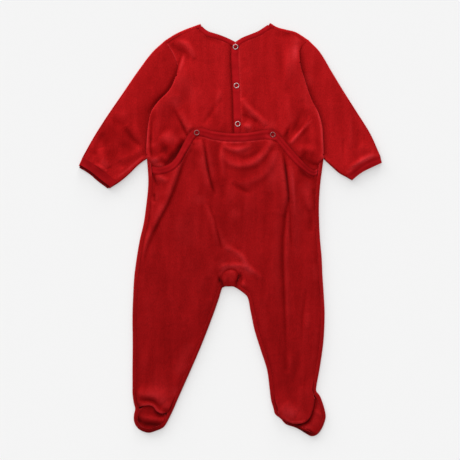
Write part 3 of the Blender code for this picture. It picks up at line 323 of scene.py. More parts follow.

# Creases
SEAT_FOLDS = fold_table(
    # from the left snap to the side seam: a ridge with a sharp right side, and the crease beside it
    ((-66, 438, -72, 427, -81, 413, -92, 382, -103, 352, -119, 322, -131, 296, -138, 274, -142, 250), 3.2,
      3.5, 11, 0.35),
    ((-62, 440, -68, 429, -77, 415, -87.5, 384, -99, 354, -114, 324, -127, 297, -134, 276, -138, 254), -2,
      3, 2.2, 0.4),
    # the shorter crease from the left snap, and its faint continuation towards the gusset
    ((-52.5, 445, -49.5, 429, -46.5, 406, -43, 386, -39.5, 372, -36, 360), 1.9, 3.2, 9, 0.35),
    ((-49, 446, -46, 429, -43, 406, -39, 387, -35.5, 374, -31, 360), -2.4, 2.8, 2),
    ((-44, 444, -41, 425, -36, 402, -31, 380), 0.8, 4, 3.5),
    ((-43, 347, -37, 332, -31, 317, -28, 302, -25, 287), 1.6, 2.6, 6, 0.55),
    ((-40, 352, -37, 338, -32, 325, -28.5, 310, -24.5, 294, -20, 279), -1.6, 2.2, 2, 0.6),
    ((-27, 318, -21, 298, -16, 286, -9, 276), 1, 4, 2.6, 0.6),
    ((-38, 368, -36, 350, -34, 335), -0.7, 6),
    # small wrinkles beside the left side seam
    ((-127, 399, -121, 385, -116, 374), -2.2, 2.2),
    ((-120, 390, -110, 386, -101, 381), 1.8, 4),
    ((-121.5, 364, -120.5, 350), -1.8, 2.2),
    ((-117.5, 368, -117, 352), 0.8, 3),
    ((-125, 358, -124, 345, -126, 328), 1, 3, 4),
    # from the right snap: the long crease down the leg, which forks
    ((66, 428, 69, 406, 72, 384, 74, 366, 74, 350, 70, 330), 2.5, 3.5, 13, 0.45),
    ((70, 428, 73.5, 406, 76.5, 384, 78.5, 366, 79, 350), -2.6, 2.4, 2.2, 0.6),
    ((79, 415, 82, 390, 84, 368, 85, 350), 1.1, 5, 3),
    ((79.5, 358, 77, 346, 73.5, 322, 71, 294, 70.6, 265, 71.5, 235, 73, 200, 75, 150, 76, 110), -1.8, 2.6,
      2.6, 0.3),
    ((80, 348, 79, 322, 77, 290, 76.5, 255, 77.5, 225, 79, 150), 1.1, 4, 2.6, 0.35),
    ((64, 340, 62.5, 300, 62, 260, 64, 200), 1, 4, 12, 0.4),
    ((79.5, 356, 81.5, 332, 82.5, 300, 85, 280), -1.3, 2, 2, 0.4),
    ((105.5, 220, 103, 197, 100, 172, 99.5, 130), -1, 2.4, 2.4, 0.45),
    ((108, 185, 109, 172, 107, 160), 1, 4),
    # hanging folds between the snaps
    ((55, 446, 49, 431, 40, 419, 28, 409, 13, 405, -2, 406, -14, 414, -19.5, 426, -17, 436), 2.5, 4, 7,
      0.3),
    ((-18, 440, -21.5, 421, -19, 402, -17, 384), 1.6, 5, 2.6, 0.45),
    ((-26, 436, -28, 412, -26, 386), -0.8, 4, 5),
    ((40, 432, 29, 422, 16, 417, 1, 421, -8, 429), -0.8, 4, 4, 0.45),
    ((-18, 441, -13, 433, -3, 429, 10, 430, 24, 436), 2, 4, 4, 0.4),
    ((62, 440, 59, 422, 52, 404, 40, 390, 22, 381, 7, 379, -8, 384), 1.7, 5, 9, 0.3),
    ((-4, 380, 6, 372, 16, 367, 26, 364), -1.3, 4),
    ((-19, 377, -17.5, 354), -0.8, 3.5),
    ((50, 366, 44, 352, 46, 336), -0.6, 7),
    ((-8, 352, 2, 340, 14, 338), -0.5, 7),
    # round the gusset
    ((-16, 284, 1, 276, 11, 267, 17, 255, 29, 245, 40, 235), 2, 4),
    ((-29, 247, -16, 255, 2, 256, 18, 252), 1.8, 3.5, 3.5, 0.6),
    ((10.5, 235, 12, 226, 12.5, 216), 1.8, 3.2, 3.2, 0.6),
    ((8, 242, 9.5, 235, 8.5, 226), -1.5, 2),
    ((-22.5, 242, -24, 233, -21.5, 224), -1.5, 2.6, 2.6, 0.6),
    ((-36, 240, -37, 222, -38, 205), -0.8, 6, 6, 0.6),
    ((-30, 262, -36, 250, -40, 236), 0.6, 7),
    # beside the right side seam
    ((93, 403, 103, 393, 113, 387, 122, 390), -1, 3),
    ((96, 378, 108, 356, 114, 338), 1.4, 7),
    ((104, 346, 112, 330, 114, 305), -1.2, 4),
    ((82, 405, 84, 385, 86, 360), 1, 5),
    ((118, 373, 117, 359), -1.2, 2.2),
    # the left seat and leg
    ((-60, 400, -63, 360, -78, 320), 0.8, 14, 12),
    ((-40, 268, -46, 240, -58, 215), 0.5, 8),
    ((-72, 234, -73, 205, -70, 180), -0.6, 7),
    ((-101, 204, -102, 178, -98, 150), -0.6, 8),
    ((-60, 190, -57, 162, -63, 138), -0.6, 7),
    ((-100, 230, -96, 170, -110, 110), 0.7, 16),
    ((-132, 210, -130, 150, -134, 100), 0.5, 6),
    # the right leg
    ((52, 300, 58, 260, 54, 210), 0.6, 10),
    ((40, 215, 46, 170, 56, 120), 0.7, 10),
    ((112, 240, 113, 190, 108, 130), -0.5, 7),
    ((97, 128, 92, 99, 86, 76), -0.9, 5),
    ((71, 128, 74, 112, 76, 96), -0.8, 4),
    ((82, 126, 82, 108, 80, 90), 0.7, 4),
    ((72, 48, 82, 38, 92, 32), 1.6, 12),
    ((100, 75, 100, 55, 98, 38), 0.8, 8),
    # the left ankle and its heel
    ((-147, 67, -138, 62, -128, 61, -118, 58, -110, 48), 2.6, 12, 3.5),
    ((-149, 60, -145, 55, -139, 54, -128, 54, -121, 51, -116, 46.5, -111, 39), -1.3, 2.6),
    ((-147, 40.5, -140, 43.3, -134, 44.6, -127.5, 44.5, -123, 42, -119, 36.5, -111, 32.5, -103, 32.6),
      1.7, 3.4),
    # the right heel
    ((66, 28, 76, 20, 86.5, 17, 97, 17, 106, 20), 0.9, 3))
BACK_LEFT_FOLDS = fold_table(
    # the crease that runs in under the left snap
    ((-88, 493, -79, 476, -71, 461, -64, 448), 1.8, 9, 3, 0.65),
    ((-94, 491, -85, 476, -77, 461, -70, 447), -2.4, 2.6, 2.4, 0.7),
    # the shoulder
    ((-91, 592, -75, 588, -66, 577, -62, 566), 2.3, 5, 5, 0.55),
    ((-98, 586, -85, 579, -74, 574, -68, 564), -1.2, 3.5, 7, 0.55),
    ((-78, 570, -82, 556, -86, 545), 1, 4),
    # the middle
    ((-94, 526, -91, 518, -90, 510), -0.7, 7),
    ((-49, 467, -35, 486, -21, 507), -1.2, 4),
    ((-22, 520, -27, 500, -33, 480), 0.9, 4),
    ((-52, 560, -54, 520, -50, 490), 0.7, 12),
    ((-26, 570, -28, 540, -24, 515), -0.5, 8),
    ((-48, 600, -34, 594, -20, 590), -0.8, 4, 5),
    # the pocket beside the seat's band, and the fullness above it
    ((-112, 408, -101, 413, -91, 420, -83, 431, -76, 444), -2.6, 8),
    ((-108, 402, -96, 409, -87, 418, -80, 430), -1.4, 5),
    ((-112, 424, -106, 417, -101, 411), 1.6, 5, 4),
    ((-112, 452, -103, 447, -93, 445), 1.8, 9),
    ((-115, 437, -104, 432, -95, 430), -0.9, 5),
    ((-120, 418, -117, 412), 0.8, 5),
    ((-125.5, 472, -126.5, 450, -127, 430, -124, 414), -1.8, 2))
BACK_RIGHT_FOLDS = fold_table(
    # beside the placket
    ((10.5, 507, 16, 495, 26, 484.5, 40, 472.5, 45, 465), 2.8, 5, 3.5),
    ((9, 482, 22, 477, 34, 470), -1.6, 3, 4),
    ((12, 468, 17, 464, 23, 461), 2, 5, 4),
    ((13, 568, 15, 558, 18, 548), -0.6, 4),
    # the shoulder
    ((94, 597, 88, 590, 85, 578, 82, 560, 79, 540, 77, 520), 2, 8, 9, 0.3),
    ((58, 602, 71, 601, 84, 601), -0.5, 5),
    ((64, 588, 66, 570, 66, 548), -0.7, 6),
    # the creases that run in under the right snap
    ((112, 478, 103, 464, 92, 450, 81, 438), 2, 3, 2, 0.6),
    ((101, 492, 95, 474, 86, 458, 77, 443), -1.5, 4, 5, 0.6),
    ((84, 470, 78, 456, 71, 445), -1.4, 2.5, 2.5, 0.6),
    ((100, 505, 102, 490, 106, 478), -1, 6),
    ((78, 514, 80, 490, 82, 470), 0.7, 6),
    # the pocket beside the seat's band
    ((92, 428, 104, 431, 117, 426), 1.4, 6, 5),
    ((97, 420, 107, 409, 118, 404, 124, 407), -2.6, 8),
    ((112, 420, 120, 418, 124, 412), -1.4, 6))
SLEEVE_FOLDS = fold_table(
    # left
    ((-184, 468, -175, 471, -164, 464), -1.7, 9),
    ((-166, 464, -154, 446, -139, 433), -2.2, 4, 6),
    ((-154, 466, -145, 453, -138, 441), 1, 6),
    ((-199, 456, -206, 438, -211, 420), -1.6, 5, 7),
    ((-201, 432, -197, 416, -191, 402), 2.4, 6, 7),
    ((-212, 408, -202, 403, -192, 396), 1.4, 2.4),
    ((-178, 421, -166, 416, -152, 423, -140, 431), 1.4, 6),
    ((-176, 436, -166, 434, -156, 436), -0.9, 6),
    ((-174, 413, -168, 402), -0.9, 5),
    ((-130, 540, -128, 522), -0.6, 7),
    ((-150, 506, -160, 488, -172, 470), 0.8, 9),
    # right
    ((168, 400, 180, 408, 195, 416, 212, 423), 1.8, 4, 3),
    ((188, 438, 199, 429, 209, 425), 1.3, 9, 8),
    ((162, 446, 162, 426, 164, 408), -0.9, 3),
    ((172, 482, 173, 456, 172, 430), 0.9, 4),
    ((184, 460, 184, 442, 182, 428), -0.8, 4),
    ((150, 500, 148, 470, 152, 440), 0.7, 8),
    ((120, 560, 130, 530, 142, 500), -0.6, 9))
SOLE_FOLDS = fold_table(
    ((-143, 30, -130, 27, -115, 24, -104, 25), 1.7, 4, 5),
    ((-147, 24, -137, 18.5, -122, 17.5, -108, 17), -2, 4.5, 4.5, 0.45),
    ((-150, 32, -146, 25, -141, 20), -1.4, 4),
    ((118, 40, 125, 34, 132, 28), 1.1, 2.8),
    ((84, 15, 95, 12, 107, 7.5, 116, 5), -2, 2.4),
    ((-121, 40, -114, 33, -105, 31), -2, 4),
    ((-148, 48, -145, 42, -142, 36), 1, 4),
    ((112, 52, 108, 40, 104, 26), -0.6, 4))
# How far each sole sinks below the heel's edge, and over what width
HEEL_DIPS = ((0.0, 4.0), (1.8, 6.0))

# Painted shade and painted highlights, also as rows of folds: edges that catch the light, deep hollows, and
# lighter and darker patches; a positive rise is painted lighter and a negative one darker
DARKEST, LIGHTEST = -3, 2
SEAT_SHADES = fold_table(
    # round the gusset
    ((-26, 240, -23.5, 233, -20, 226), -2, 2.2),
    ((8, 247, 6, 240, 2, 230), -2.4, 2.2),
    ((-24, 266, -20, 258, -18, 248), 0.9, 7),
    ((-26, 236, -20, 247.5, -11, 252.5, -3, 253.5, 5, 250, 10, 244), 1.7, 2.4),
    ((-6, 284, 2, 282, 10, 280), -0.8, 7),
    ((14, 252, 20, 247, 26, 242), 0.8, 6),
    ((-20, 296, -8, 280, 6, 264, 20, 246), 0.8, 14, 10),
    ((6, 262, 17, 250, 26, 240), 0.7, 7),
    # below the band
    ((-58, 449.5, -46, 447, -36, 444.2, -15.8, 441, 3.8, 440.4, 22, 441.5, 43, 443.6, 54, 444), 2.4, 1.4),
    ((48, 444, 54, 441, 60, 436), 0.9, 5),
    ((-33, 392, -26, 382, -22, 372), -0.7, 10),
    ((-8, 392, 8, 388, 24, 392), -0.5, 8),
    ((36, 425, 38, 408, 36, 396), 0.7, 8),
    ((50, 432, 56, 410, 56, 390, 53, 365), 0.9, 11, 9),
    ((74, 425, 75.5, 405, 77, 385), -0.7, 4),
    # the left seat and leg
    ((-80, 330, -74, 305, -70, 280), 0.5, 18),
    ((-130, 332, -126, 318, -128, 304), -0.7, 8),
    ((-107, 180, -107, 140, -104, 100), -0.55, 16, 14),
    ((-140, 165, -140, 130), -0.3, 8),
    ((-70, 140, -80, 110, -88, 90), 0.9, 8),
    # down from the right snap
    ((85, 402, 86, 380, 88, 350, 89, 330), 1.2, 1.8),
    # spots between the snaps, beside the side seams and down the legs
    ((-6, 426, 8, 428, 24, 426), 0.8, 8),
    ((50, 400, 54, 390, 58, 380), 0.6, 8),
    ((-58, 432, -54, 424, -52, 416), -0.7, 7),
    ((-126, 362, -125, 354, -126, 346), 0.7, 7),
    ((-116, 388, -107, 387, -100, 384), 0.6, 7),
    ((-110, 362, -107, 354, -108, 346), -0.7, 7),
    ((-42, 378, -36, 372, -34, 364), -0.6, 7),
    ((-146, 290, -144, 262, -146, 240), -0.7, 6),
    ((106, 328, 109, 318, 110, 306), -0.6, 8),
    ((-146, 50, -143, 48, -139, 49), 0.7, 4),
    ((52, 56, 55, 48, 60, 40), 0.7, 6),
    ((68, 34, 73, 30, 80, 27), 0.8, 6),
    ((-95, 68, -90, 60, -92, 50), 0.5, 8),
    ((-54, 362, -53, 354, -54, 346), 0.7, 9),
    ((-6, 340, 1, 335, 8, 332), 0.7, 9),
    ((122, 260, 122, 246, 123, 232), 0.6, 7),
    ((-72, 112, -71, 102, -74, 92), 0.6, 9),
    ((-92, 74, -89, 66, -92, 58), 0.9, 8),
    ((92, 400, 103, 391.5, 114, 385.5, 124, 386), -1.1, 4.5),
    ((96, 372, 92, 340, 91, 300, 92, 265), 0.6, 8),
    ((112, 380, 108, 370, 106, 360), 0.6, 8),
    ((62, 180, 70, 135, 74, 100, 70, 70), -0.5, 16),
    # above the heels, and along their edges
    ((-134, 74, -114, 68, -94, 64), 1, 14),
    ((-112, 56, -104, 50, -98, 42), 1, 8),
    ((-145, 43.2, -140, 45.7, -134, 47, -127, 47, -121.8, 44.2, -117, 38.4, -110, 35, -101, 35.2), 2.8, 2,
      1.8),
    ((62, 46, 75, 36, 92, 36, 100, 42), 1.2, 12),
    ((73, 27, 85, 20.8, 96, 20.8, 105, 24), 2.4, 1.8))
BAND_SHADES = fold_table(
    ((-58, 451.5, -46, 449.3, -36, 446.5, -15.8, 443.3, 3.8, 442.7, 22, 443.8, 43, 446, 54, 446), 1.3, 1.4),
    ((44, 450, 52, 447, 60, 443), 0.8, 3),
    ((-52, 456, -35, 452.6, -15, 449.6, 4, 448.8, 22, 450, 42, 453.2, 52, 454), -0.8, 1.3),
    ((-52, 459, -35, 455.8, -15, 452.8, 4, 452, 22, 453.4, 42, 456.8, 52, 458), 0.6, 1.2),
    ((62, 447, 80, 430, 98, 410, 112, 397), -0.6, 1.3),
    ((122.5, 405, 122, 396, 121, 388), 1.6, 2))
PLACKET_SHADES = fold_table(
    ((3.4, 592, 3, 555, 4.4, 534, 5.6, 504, 6.6, 474, 7.4, 450), 0.9, 1.3))
BACK_LEFT_SHADES = fold_table(
    # the neck's seam
    ((-52, 608, -46, 603.5, -38, 599.7, -24, 594.8, -12, 590.2, -2, 585), 0.9, 1.8),
    # the crease above the fold
    ((-80, 574, -85, 560, -88, 549, -93, 538), -1.6, 2.2),
    ((-76, 574, -80, 561, -84, 549, -88, 538), 1.2, 2.4),
    # the pocket beside the seat's band
    ((-128, 412, -121, 407.5, -113, 406, -106, 408), 1.7, 3, 3.5),
    ((-126, 434, -124, 426, -126, 418), -1.3, 7),
    ((-113, 430, -107, 426, -101, 425), -0.8, 7),
    ((-128, 452, -124, 444, -122, 438), -0.8, 6),
    ((-96, 448, -89, 444, -84, 438), 0.8, 6),
    ((-112, 466, -107, 462, -102, 456), -0.7, 8),
    ((-22, 466, -17, 462, -12, 458), -0.6, 8),
    ((-96, 562, -93, 552, -94, 544), -0.9, 6),
    ((-124, 488, -125, 480, -126, 472), -0.5, 7),
    ((-108, 408, -102, 411.5, -95, 417, -88, 425, -81, 436, -75, 447), -2.2, 6),
    ((-114, 434, -103, 429, -93, 430), -0.9, 8),
    ((-110, 452, -100, 449, -90, 447), 0.6, 9),
    ((-128, 415, -121, 412, -115, 415), 1.2, 4),
    # the middle and the side
    ((-72, 540, -70, 515, -76, 495), 0.6, 10),
    ((-94, 505, -88, 496, -84, 490), 1.1, 8, 6),
    ((-82, 468, -86, 460, -92, 455), -0.6, 7),
    ((-122, 490, -124, 470, -122, 450), -0.8, 5),
    ((-38, 490, -32, 474, -30, 462), -0.5, 8),
    # the armhole's seam and the fold's edge
    ((-104, 590, -99, 582, -94, 573, -90, 563), 2.2, 1.6),
    ((-130.5, 475, -131.5, 455, -131, 430, -128.5, 414), 1.4, 1.6))
BACK_RIGHT_SHADES = fold_table(
    # the seams of the neck and the placket
    ((52, 611, 46, 607.5, 38, 602.8, 31, 599.2, 19, 594.4, 8, 590, 0, 584), 0.9, 1.8),
    ((5.4, 592, 5, 555, 6.4, 534, 7.6, 504, 8.6, 474, 9.4, 450), 1.1, 1.5),
    # the pocket beside the seat's band, and the fold that runs in to it
    ((98, 428, 108, 424, 117, 412, 121, 407), -1, 9, 8),
    ((84, 466, 91, 462, 100, 460, 112, 462), -1, 8),
    ((104, 448, 109, 444, 112, 438), -0.6, 7),
    ((68, 448, 73, 444, 78, 438), -0.8, 6),
    ((12, 464, 19, 462, 26, 460), 0.7, 7),
    ((94, 600, 92, 589, 89, 575, 86, 562), 1, 7, 6),
    ((77, 464, 77, 450, 75, 441), -1, 3.5),
    ((117, 476, 104, 463, 92, 450, 82, 438), 1.8, 1.7),
    ((106, 494, 109, 478, 112, 466), -0.6, 8),
    ((118, 482, 122, 458, 124, 434), -0.8, 5),
    # the shoulder, the side and the middle
    ((88, 586, 91, 574, 92, 560), 0.8, 7, 6),
    ((104, 545, 109, 528, 113, 512), 0.8, 8, 6),
    ((40, 470, 52, 466, 62, 470), 0.8, 8),
    ((18, 484, 22, 479, 28, 474), 0.8, 5),
    # the armhole's seam and the fold's edge
    ((108, 592, 101, 586, 96.5, 577, 95.5, 566), -0.8, 1.6),
    ((115, 512, 122, 490, 127.5, 466, 129.8, 444, 130.8, 428, 131, 406), 2, 1.4),
    ((122, 446, 124.5, 430, 124, 416), -0.9, 4))
SLEEVE_SHADES = fold_table(
    # left
    ((-202, 440, -182, 460, -165, 448, -146, 436), -1.1, 16, 18),
    ((-214, 426, -196, 424, -172, 424, -146, 430), -0.7, 10),
    ((-112, 580, -114, 545, -122, 512, -137, 484, -140, 450), -0.6, 10, 16),
    ((-120, 586, -112, 574, -106, 560), -0.5, 7),
    ((-204, 412, -197, 406, -190, 402), 0.9, 6),
    ((-177.5, 388, -170, 393, -160, 401, -150, 410, -138, 420), 1.7, 1.7),
    # right
    ((186, 412, 198, 416, 209, 420), 0.9, 8),
    ((166, 393, 176, 402, 187, 410, 200, 416.5, 216, 422.5), 1.8, 3.2),
    ((134, 413.5, 143, 406.5, 151, 399.5, 158, 394.5, 166, 390), -1.2, 1.6),
    ((104, 544, 108, 534, 112, 524), 0.6, 7),
    # beside the left armhole, and spots down the left sleeve
    ((-204, 450, -197, 444, -192, 436), -0.7, 8),
    ((-88, 552, -94, 535, -103, 518, -119, 501, -132, 484), -1.4, 3, 3.5),
    ((-184, 508, -179, 498, -176, 486), -0.5, 8),
    ((-219, 432, -215, 426, -210, 420), -0.7, 8))
CUFF_SHADES = fold_table(
    ((-234, 409, -218, 398, -204, 387, -186, 376), -0.8, 5, 7),
    ((164, 385, 177.5, 395.5, 189.5, 404.8, 201.5, 411.8, 221, 418.5), -1.3, 1.4),
    ((170, 383, 180, 392, 192, 400, 205, 406.5, 222, 413), -0.8, 1.2),
    ((176, 402, 190, 407, 206, 412), 0.5, 6))
# The painted dark of the deep hollows below the heels and at the toes, with some painted lighter spots, on
# the soles and on the front's edge
FOOT_SHADES = fold_table(
    ((-151, 30, -143, 21, -133, 18, -118, 18, -106, 20), -1.3, 6, 7),
    ((-121, 35, -112, 30, -103, 29), -0.5, 5, 6),
    ((98, 15, 108, 13, 116, 14), 0.9, 5),
    ((-148, 12, -133, 6, -118, 9, -107, 14), -1.5, 6),
    ((70, 26, 78, 19, 89, 16, 101, 17.5, 110, 23.5, 114.5, 34, 117.5, 47), -1.9, 2.8, 2.8, 0.3),
    ((112, 44, 119, 28, 119, 14), 0.6, 8),
    ((88, 14, 96, 10, 108, 5.2, 121, 3), -3, 3.2, 3.5))
EDGE_SHADES = FOOT_SHADES + fold_table(
    # beside the band's ends, and down the right side
    ((-133, 421, -131, 416, -127.5, 409.5, -125.6, 402.5, -126.5, 395, -128, 388), 2.2, 1.6),
    ((127, 414, 125, 404, 124, 397, 123.4, 391), 1.4, 1.8),
    ((131, 320, 132, 250, 135, 190), 1.5, 6),
    # the crotch's ends
    ((-26, 234, -21, 227, -17, 222), -2.4, 2.2),
    ((-2, 222, 1, 226.5, 5, 232), -1.8, 2.2))
GUSSET_SHADES = fold_table(
    ((-22, 236, -20, 229, -18, 222), -2.4, 2),
    ((5.5, 246, 4, 237, 0.5, 229, -1, 224), -2.2, 2.4),
    ((-15, 245, -9, 247.5, -2, 246), 1.2, 2.2))

Snap = namedtuple("Snap", "name x y piece")
SNAPS = table(
    Snap,
    ("snap_placket_1", 0.0, 583.5, "placket"),
    ("snap_placket_2", 1.5, 525.5, "placket"),
    ("snap_placket_3", 3.3, 468.0, "placket"),
    ("snap_seat_left", -58.0, 454.6, "band"),
    ("snap_seat_right", 55.8, 451.8, "band"))

Dimple = namedtuple("Dimple", "height width away")
# The cloth below each snap, and the ring of cloth round it
PRESSED = Dimple(0.45, 5.5, 0)
PUSHED = Dimple(0.35, 2.6, 8.5)

# Heights of the layers' middles, as in the solids
BACK_INNER = 4.5
BACK_LOWEST = FLOOR_LAYER + CLOTH + 0.1
BACK_UNDER = 3.3
BACK_OVER = 5.5
PLACKET_LAYER = 5.7
NECK_LAYER = SEAM_LAYER + 0.2
SEAT_LAYER = 5.1
SLEEVE_LAYER = 5.2
SLEEVE_UNDER = 4.0
SOLE_LAYER = 4.7
HEEL_LAYER = SOLE_LAYER + LAYER + 0.2
FOLD_ROLL = 1.05
FOLD_LAYER = SLEEVE_UNDER + LAYER + 2 * FOLD_ROLL + 0.9
FOLD_UNDER = 7.0
FOLD_LOW = 422.0
FOLD_TOP_LEFT = 541.0
FOLD_TOP_RIGHT = 560.0
SEAM_FREE_LEFT = 553.0
SEAM_FREE_RIGHT = 576.0

Blend = namedtuple("Blend", "start end")
# Where one level goes over into the next, as in the solids
SEAM_BLEND = Blend(1, 14)
FOLD_BLEND = Blend(5, 32)
FOLD_RISE = Blend(404, 420)
FOLD_FALL = Blend(-8, 30)
TAIL_LOW = Blend(392, 410)
TAIL_OUT = Blend(88, 108)
UNDER_PLACKET = Blend(2, 30)
BESIDE_PLACKET = Blend(18, 45)
NECK_LEFT_RISE = Blend(-32, -10)
NECK_RIGHT_RISE = Blend(14, 40)
SEAT_OVER_TAILS = Blend(HEM - 100, HEM + 2)
SEAT_MIDDLE = Blend(-16, 18)
PLACKET_HUMP = Blend(8, 34)
PLACKET_MIDDLE = 4.0
SIDE_BLEND = 8.0
CORNER_LAYER = 3.0
CORNER_LOW = Blend(404, 413)
CORNER_OUT = Blend(113, 124)
SEAT_LIFT = 1.8
SEAT_CLEAR = 0.15
BAND_UP = (BAND - CLOTH) / 2 + 0.1
TAILS_TOP = HEM - 24
SOFT_FOLDS = 1.15
TAILS_END = Blend(111, 119)
LIFT_IN = Blend(3, 16)
HEEL_BLEND = Blend(10, 36)
HEEL_END = Blend(1, 9)
SLEEVE_SEAM = Blend(8, 22)
SLEEVE_OUT = Blend(2, 22)
SLEEVE_EDGE = Blend(0, 9)
GUSSET_RISE = Blend(227, 240)
GUSSET_FULL = Blend(226, 234)
BAND_FREE = Blend(0, 9)
UNDERLAP_FREE = Blend(-2, 14)
UNEVEN_LEFT = Blend(4, 30)
UNEVEN_RIGHT = Blend(14, 34)
SEAT_SOFT = Blend(0, 5)
BAND_CREASED = Blend(40, 70)
SOLE_UNEVEN = Blend(-1, 4)
EDGE_SOFT = Blend(1, 9)
OUTSIDE_SOFT = Blend(3, 12)
BESIDE_FOLD = Blend(-20, 20)
UPPER_LAYERS = Blend(2.4, 3.0)  # points this high belong to an upper layer

Reach = namedtuple("Reach", "low high")
# Heights between which a piece follows an edge
BACK_LEFT_SIDE = Reach(398, 411.5)
BACK_RIGHT_SIDE = Reach(396, 411.5)
BELOW_FOLD = Reach(416, FOLD_LOW - 1)
SEAT_LEFT_OUTER = Reach(43, 391)
SEAT_LEFT_INNER = Reach(36, 232)
SEAT_RIGHT_INNER = Reach(38, 232)
SEAT_RIGHT_OUTER = Reach(68, 389)
SOLE_LEFT_OUTER = Reach(0, 40)
SOLE_LEFT_INNER = Reach(0, 31)
SOLE_RIGHT_INNER = Reach(0, 30)
SOLE_RIGHT_OUTER = Reach(0, 60)
SOLE_RIGHT_FROM = 74.0
# Lower corners of the upper backs
TAIL_LEFT = path(-120, 394, -113, 391, -112, HEM)
TAIL_RIGHT = path(112, HEM, 113, 388, 118, 391)
NECK_FRONT_IN = 4.0


# ---------------------------------------------------------------- curves
def smooth_curve(points, step=STEP):
    """Evenly spaced points on a smooth curve through the given ones."""
    knots = np.array([(p[0], p[1]) for p in points], float)
    ends = (2 * knots[0] - knots[1], 2 * knots[-1] - knots[-2])
    knots = np.vstack((ends[0], knots, ends[1]))
    fine = []
    for i in range(1, len(knots) - 2):
        before, start, end, after = knots[i - 1:i + 3]
        reach = np.linalg.norm(end - start)
        slope_in = (end - before) / max(reach + np.linalg.norm(start - before), 1e-6)
        slope_out = (after - start) / max(reach + np.linalg.norm(after - end), 1e-6)
        for t in np.linspace(0, 1, KNOT_STEPS, endpoint=False):
            fine.append((2 * t ** 3 - 3 * t ** 2 + 1) * start + (t ** 3 - 2 * t ** 2 + t) * reach * slope_in
                        + (3 * t ** 2 - 2 * t ** 3) * end + (t ** 3 - t ** 2) * reach * slope_out)
    fine.append(knots[-2])
    return even(np.array(fine), step)


def lengths(curve):
    """Length along a curve at each of its points."""
    return np.concatenate(([0], np.cumsum(np.linalg.norm(np.diff(curve, axis=0), axis=1))))


def at_lengths(curve, stations):
    along = lengths(curve)
    return np.column_stack([np.interp(stations, along, curve[:, axis]) for axis in range(curve.shape[1])])


def even(curve, step):
    """The same curve with evenly spaced points."""
    total = lengths(curve)[-1]
    return at_lengths(curve, np.linspace(0, total, max(1, round(total / step)) + 1))


def even_count(curve, count):
    return at_lengths(curve, np.linspace(0, lengths(curve)[-1], count + 1))


def part_of(curve, start, end=None):
    """The stretch of a curve from one length along it to another."""
    along = lengths(curve)
    end = along[-1] if end is None else end
    kept = along[(along > start + END_GAP) & (along < end - END_GAP)]
    return at_lengths(curve, np.concatenate(([start], kept, [end])))


def normals_left(curve):
    """Unit normals to the left of an open curve."""
    along = np.gradient(curve, axis=0)
    along[0] = curve[1] - curve[0]
    along[-1] = curve[-1] - curve[-2]
    along /= np.linalg.norm(along, axis=1)[:, None]
    return np.column_stack((-along[:, 1], along[:, 0]))


def inset(curve, distance):
    """The curve moved to its left, which is into the cloth."""
    return curve + normals_left(curve) * distance


def nearest(x, y, curve):
    """Distance from each point to a curve, the length along the curve there, and the side of it."""
    best, place, side = (np.full(np.shape(x), value) for value in (np.inf, 0.0, 0.0))
    along = lengths(curve)
    for i, (start, end) in enumerate(zip(curve[:-1], curve[1:])):
        run = end - start
        t = np.clip(((x - start[0]) * run[0] + (y - start[1]) * run[1]) / (run @ run), 0, 1)
        away_x, away_y = x - start[0] - t * run[0], y - start[1] - t * run[1]
        away = away_x ** 2 + away_y ** 2
        nearer = away < best
        best = np.where(nearer, away, best)
        place = np.where(nearer, along[i] + t * (along[i + 1] - along[i]), place)
        side = np.where(nearer, run[0] * away_y - run[1] * away_x, side)
    return np.sqrt(best), place, side


def distance_to(x, y, curve):
    return nearest(x, y, curve)[0]


def smoothed(t):
    """A share from 0 to 1 with a soft start and end."""
    return t * t * (3 - 2 * t)


def ease(value, start, end):
    """0 before start, 1 after end, and smooth between."""
    return smoothed(np.clip((value - start) / (end - start), 0, 1))


def bell(away, width):
    """1 on a line, and fading out over a width beside it."""
    return np.exp(-(away / width) ** 2)


def between(curve, low, high):
    """The points of a curve whose height is between low and high."""
    return curve[(curve[:, 1] >= low) & (curve[:, 1] <= high)]


def above(curve, low):
    return curve[curve[:, 1] > low]


def clear_of(curve, other, distance):
    """The part of a curve that is at least a distance from another curve."""
    fine = even(np.asarray(curve, float), FINE_STEP)
    return fine[distance_to(fine[:, 0], fine[:, 1], other) >= distance]


# ---------------------------------------------------------------- creases and unevenness
def folds_height(x, y, folds):
    """Height that the creases add at each point."""
    total = np.zeros(np.shape(x))
    for fold in folds:
        line = smooth_curve(fold.line, FOLD_STEP)
        reach = FADE * max(fold.left, fold.right)
        low, high = line.min(axis=0) - reach, line.max(axis=0) + reach
        near = (x > low[0]) & (x < high[0]) & (y > low[1]) & (y < high[1])
        if not near.any():
            continue
        away, place, side = nearest(x[near], y[near], line)
        share = np.clip(place / lengths(line)[-1], 0, 1)
        skew = math.log(0.5) / math.log(fold.peak)
        swell = np.sin(math.pi * share ** skew) ** SWELL
        total[near] += fold.rise * swell * bell(away, np.where(side > 0, fold.left, fold.right))
    return total


def shade(points, shades):
    """How the painted shade and highlight marks change the shade of each point that faces up."""
    return folds_height(points[:, 0], points[:, 1], shades) * ease(points[:, 2], *UPPER_LAYERS)


def crease_points(folds):
    """Points along the sharp creases and on their flanks, where the mesh follows them."""
    taken, points = set(), []
    for fold in folds:
        line = smooth_curve(fold.line, STEP)
        rows = [0.0]
        for width in (fold.left, -fold.right):
            if abs(width) < SHARP:
                rows += [width * share for share in FLANKS]
        if len(rows) == 1:
            continue
        for across in rows:
            for p in inset(line, across):
                cell = (round(p[0] / CREASE_CELL), round(p[1] / CREASE_CELL))
                if cell not in taken:
                    taken.add(cell)
                    points.append(tuple(p))
    return np.array(points).reshape(-1, 2)


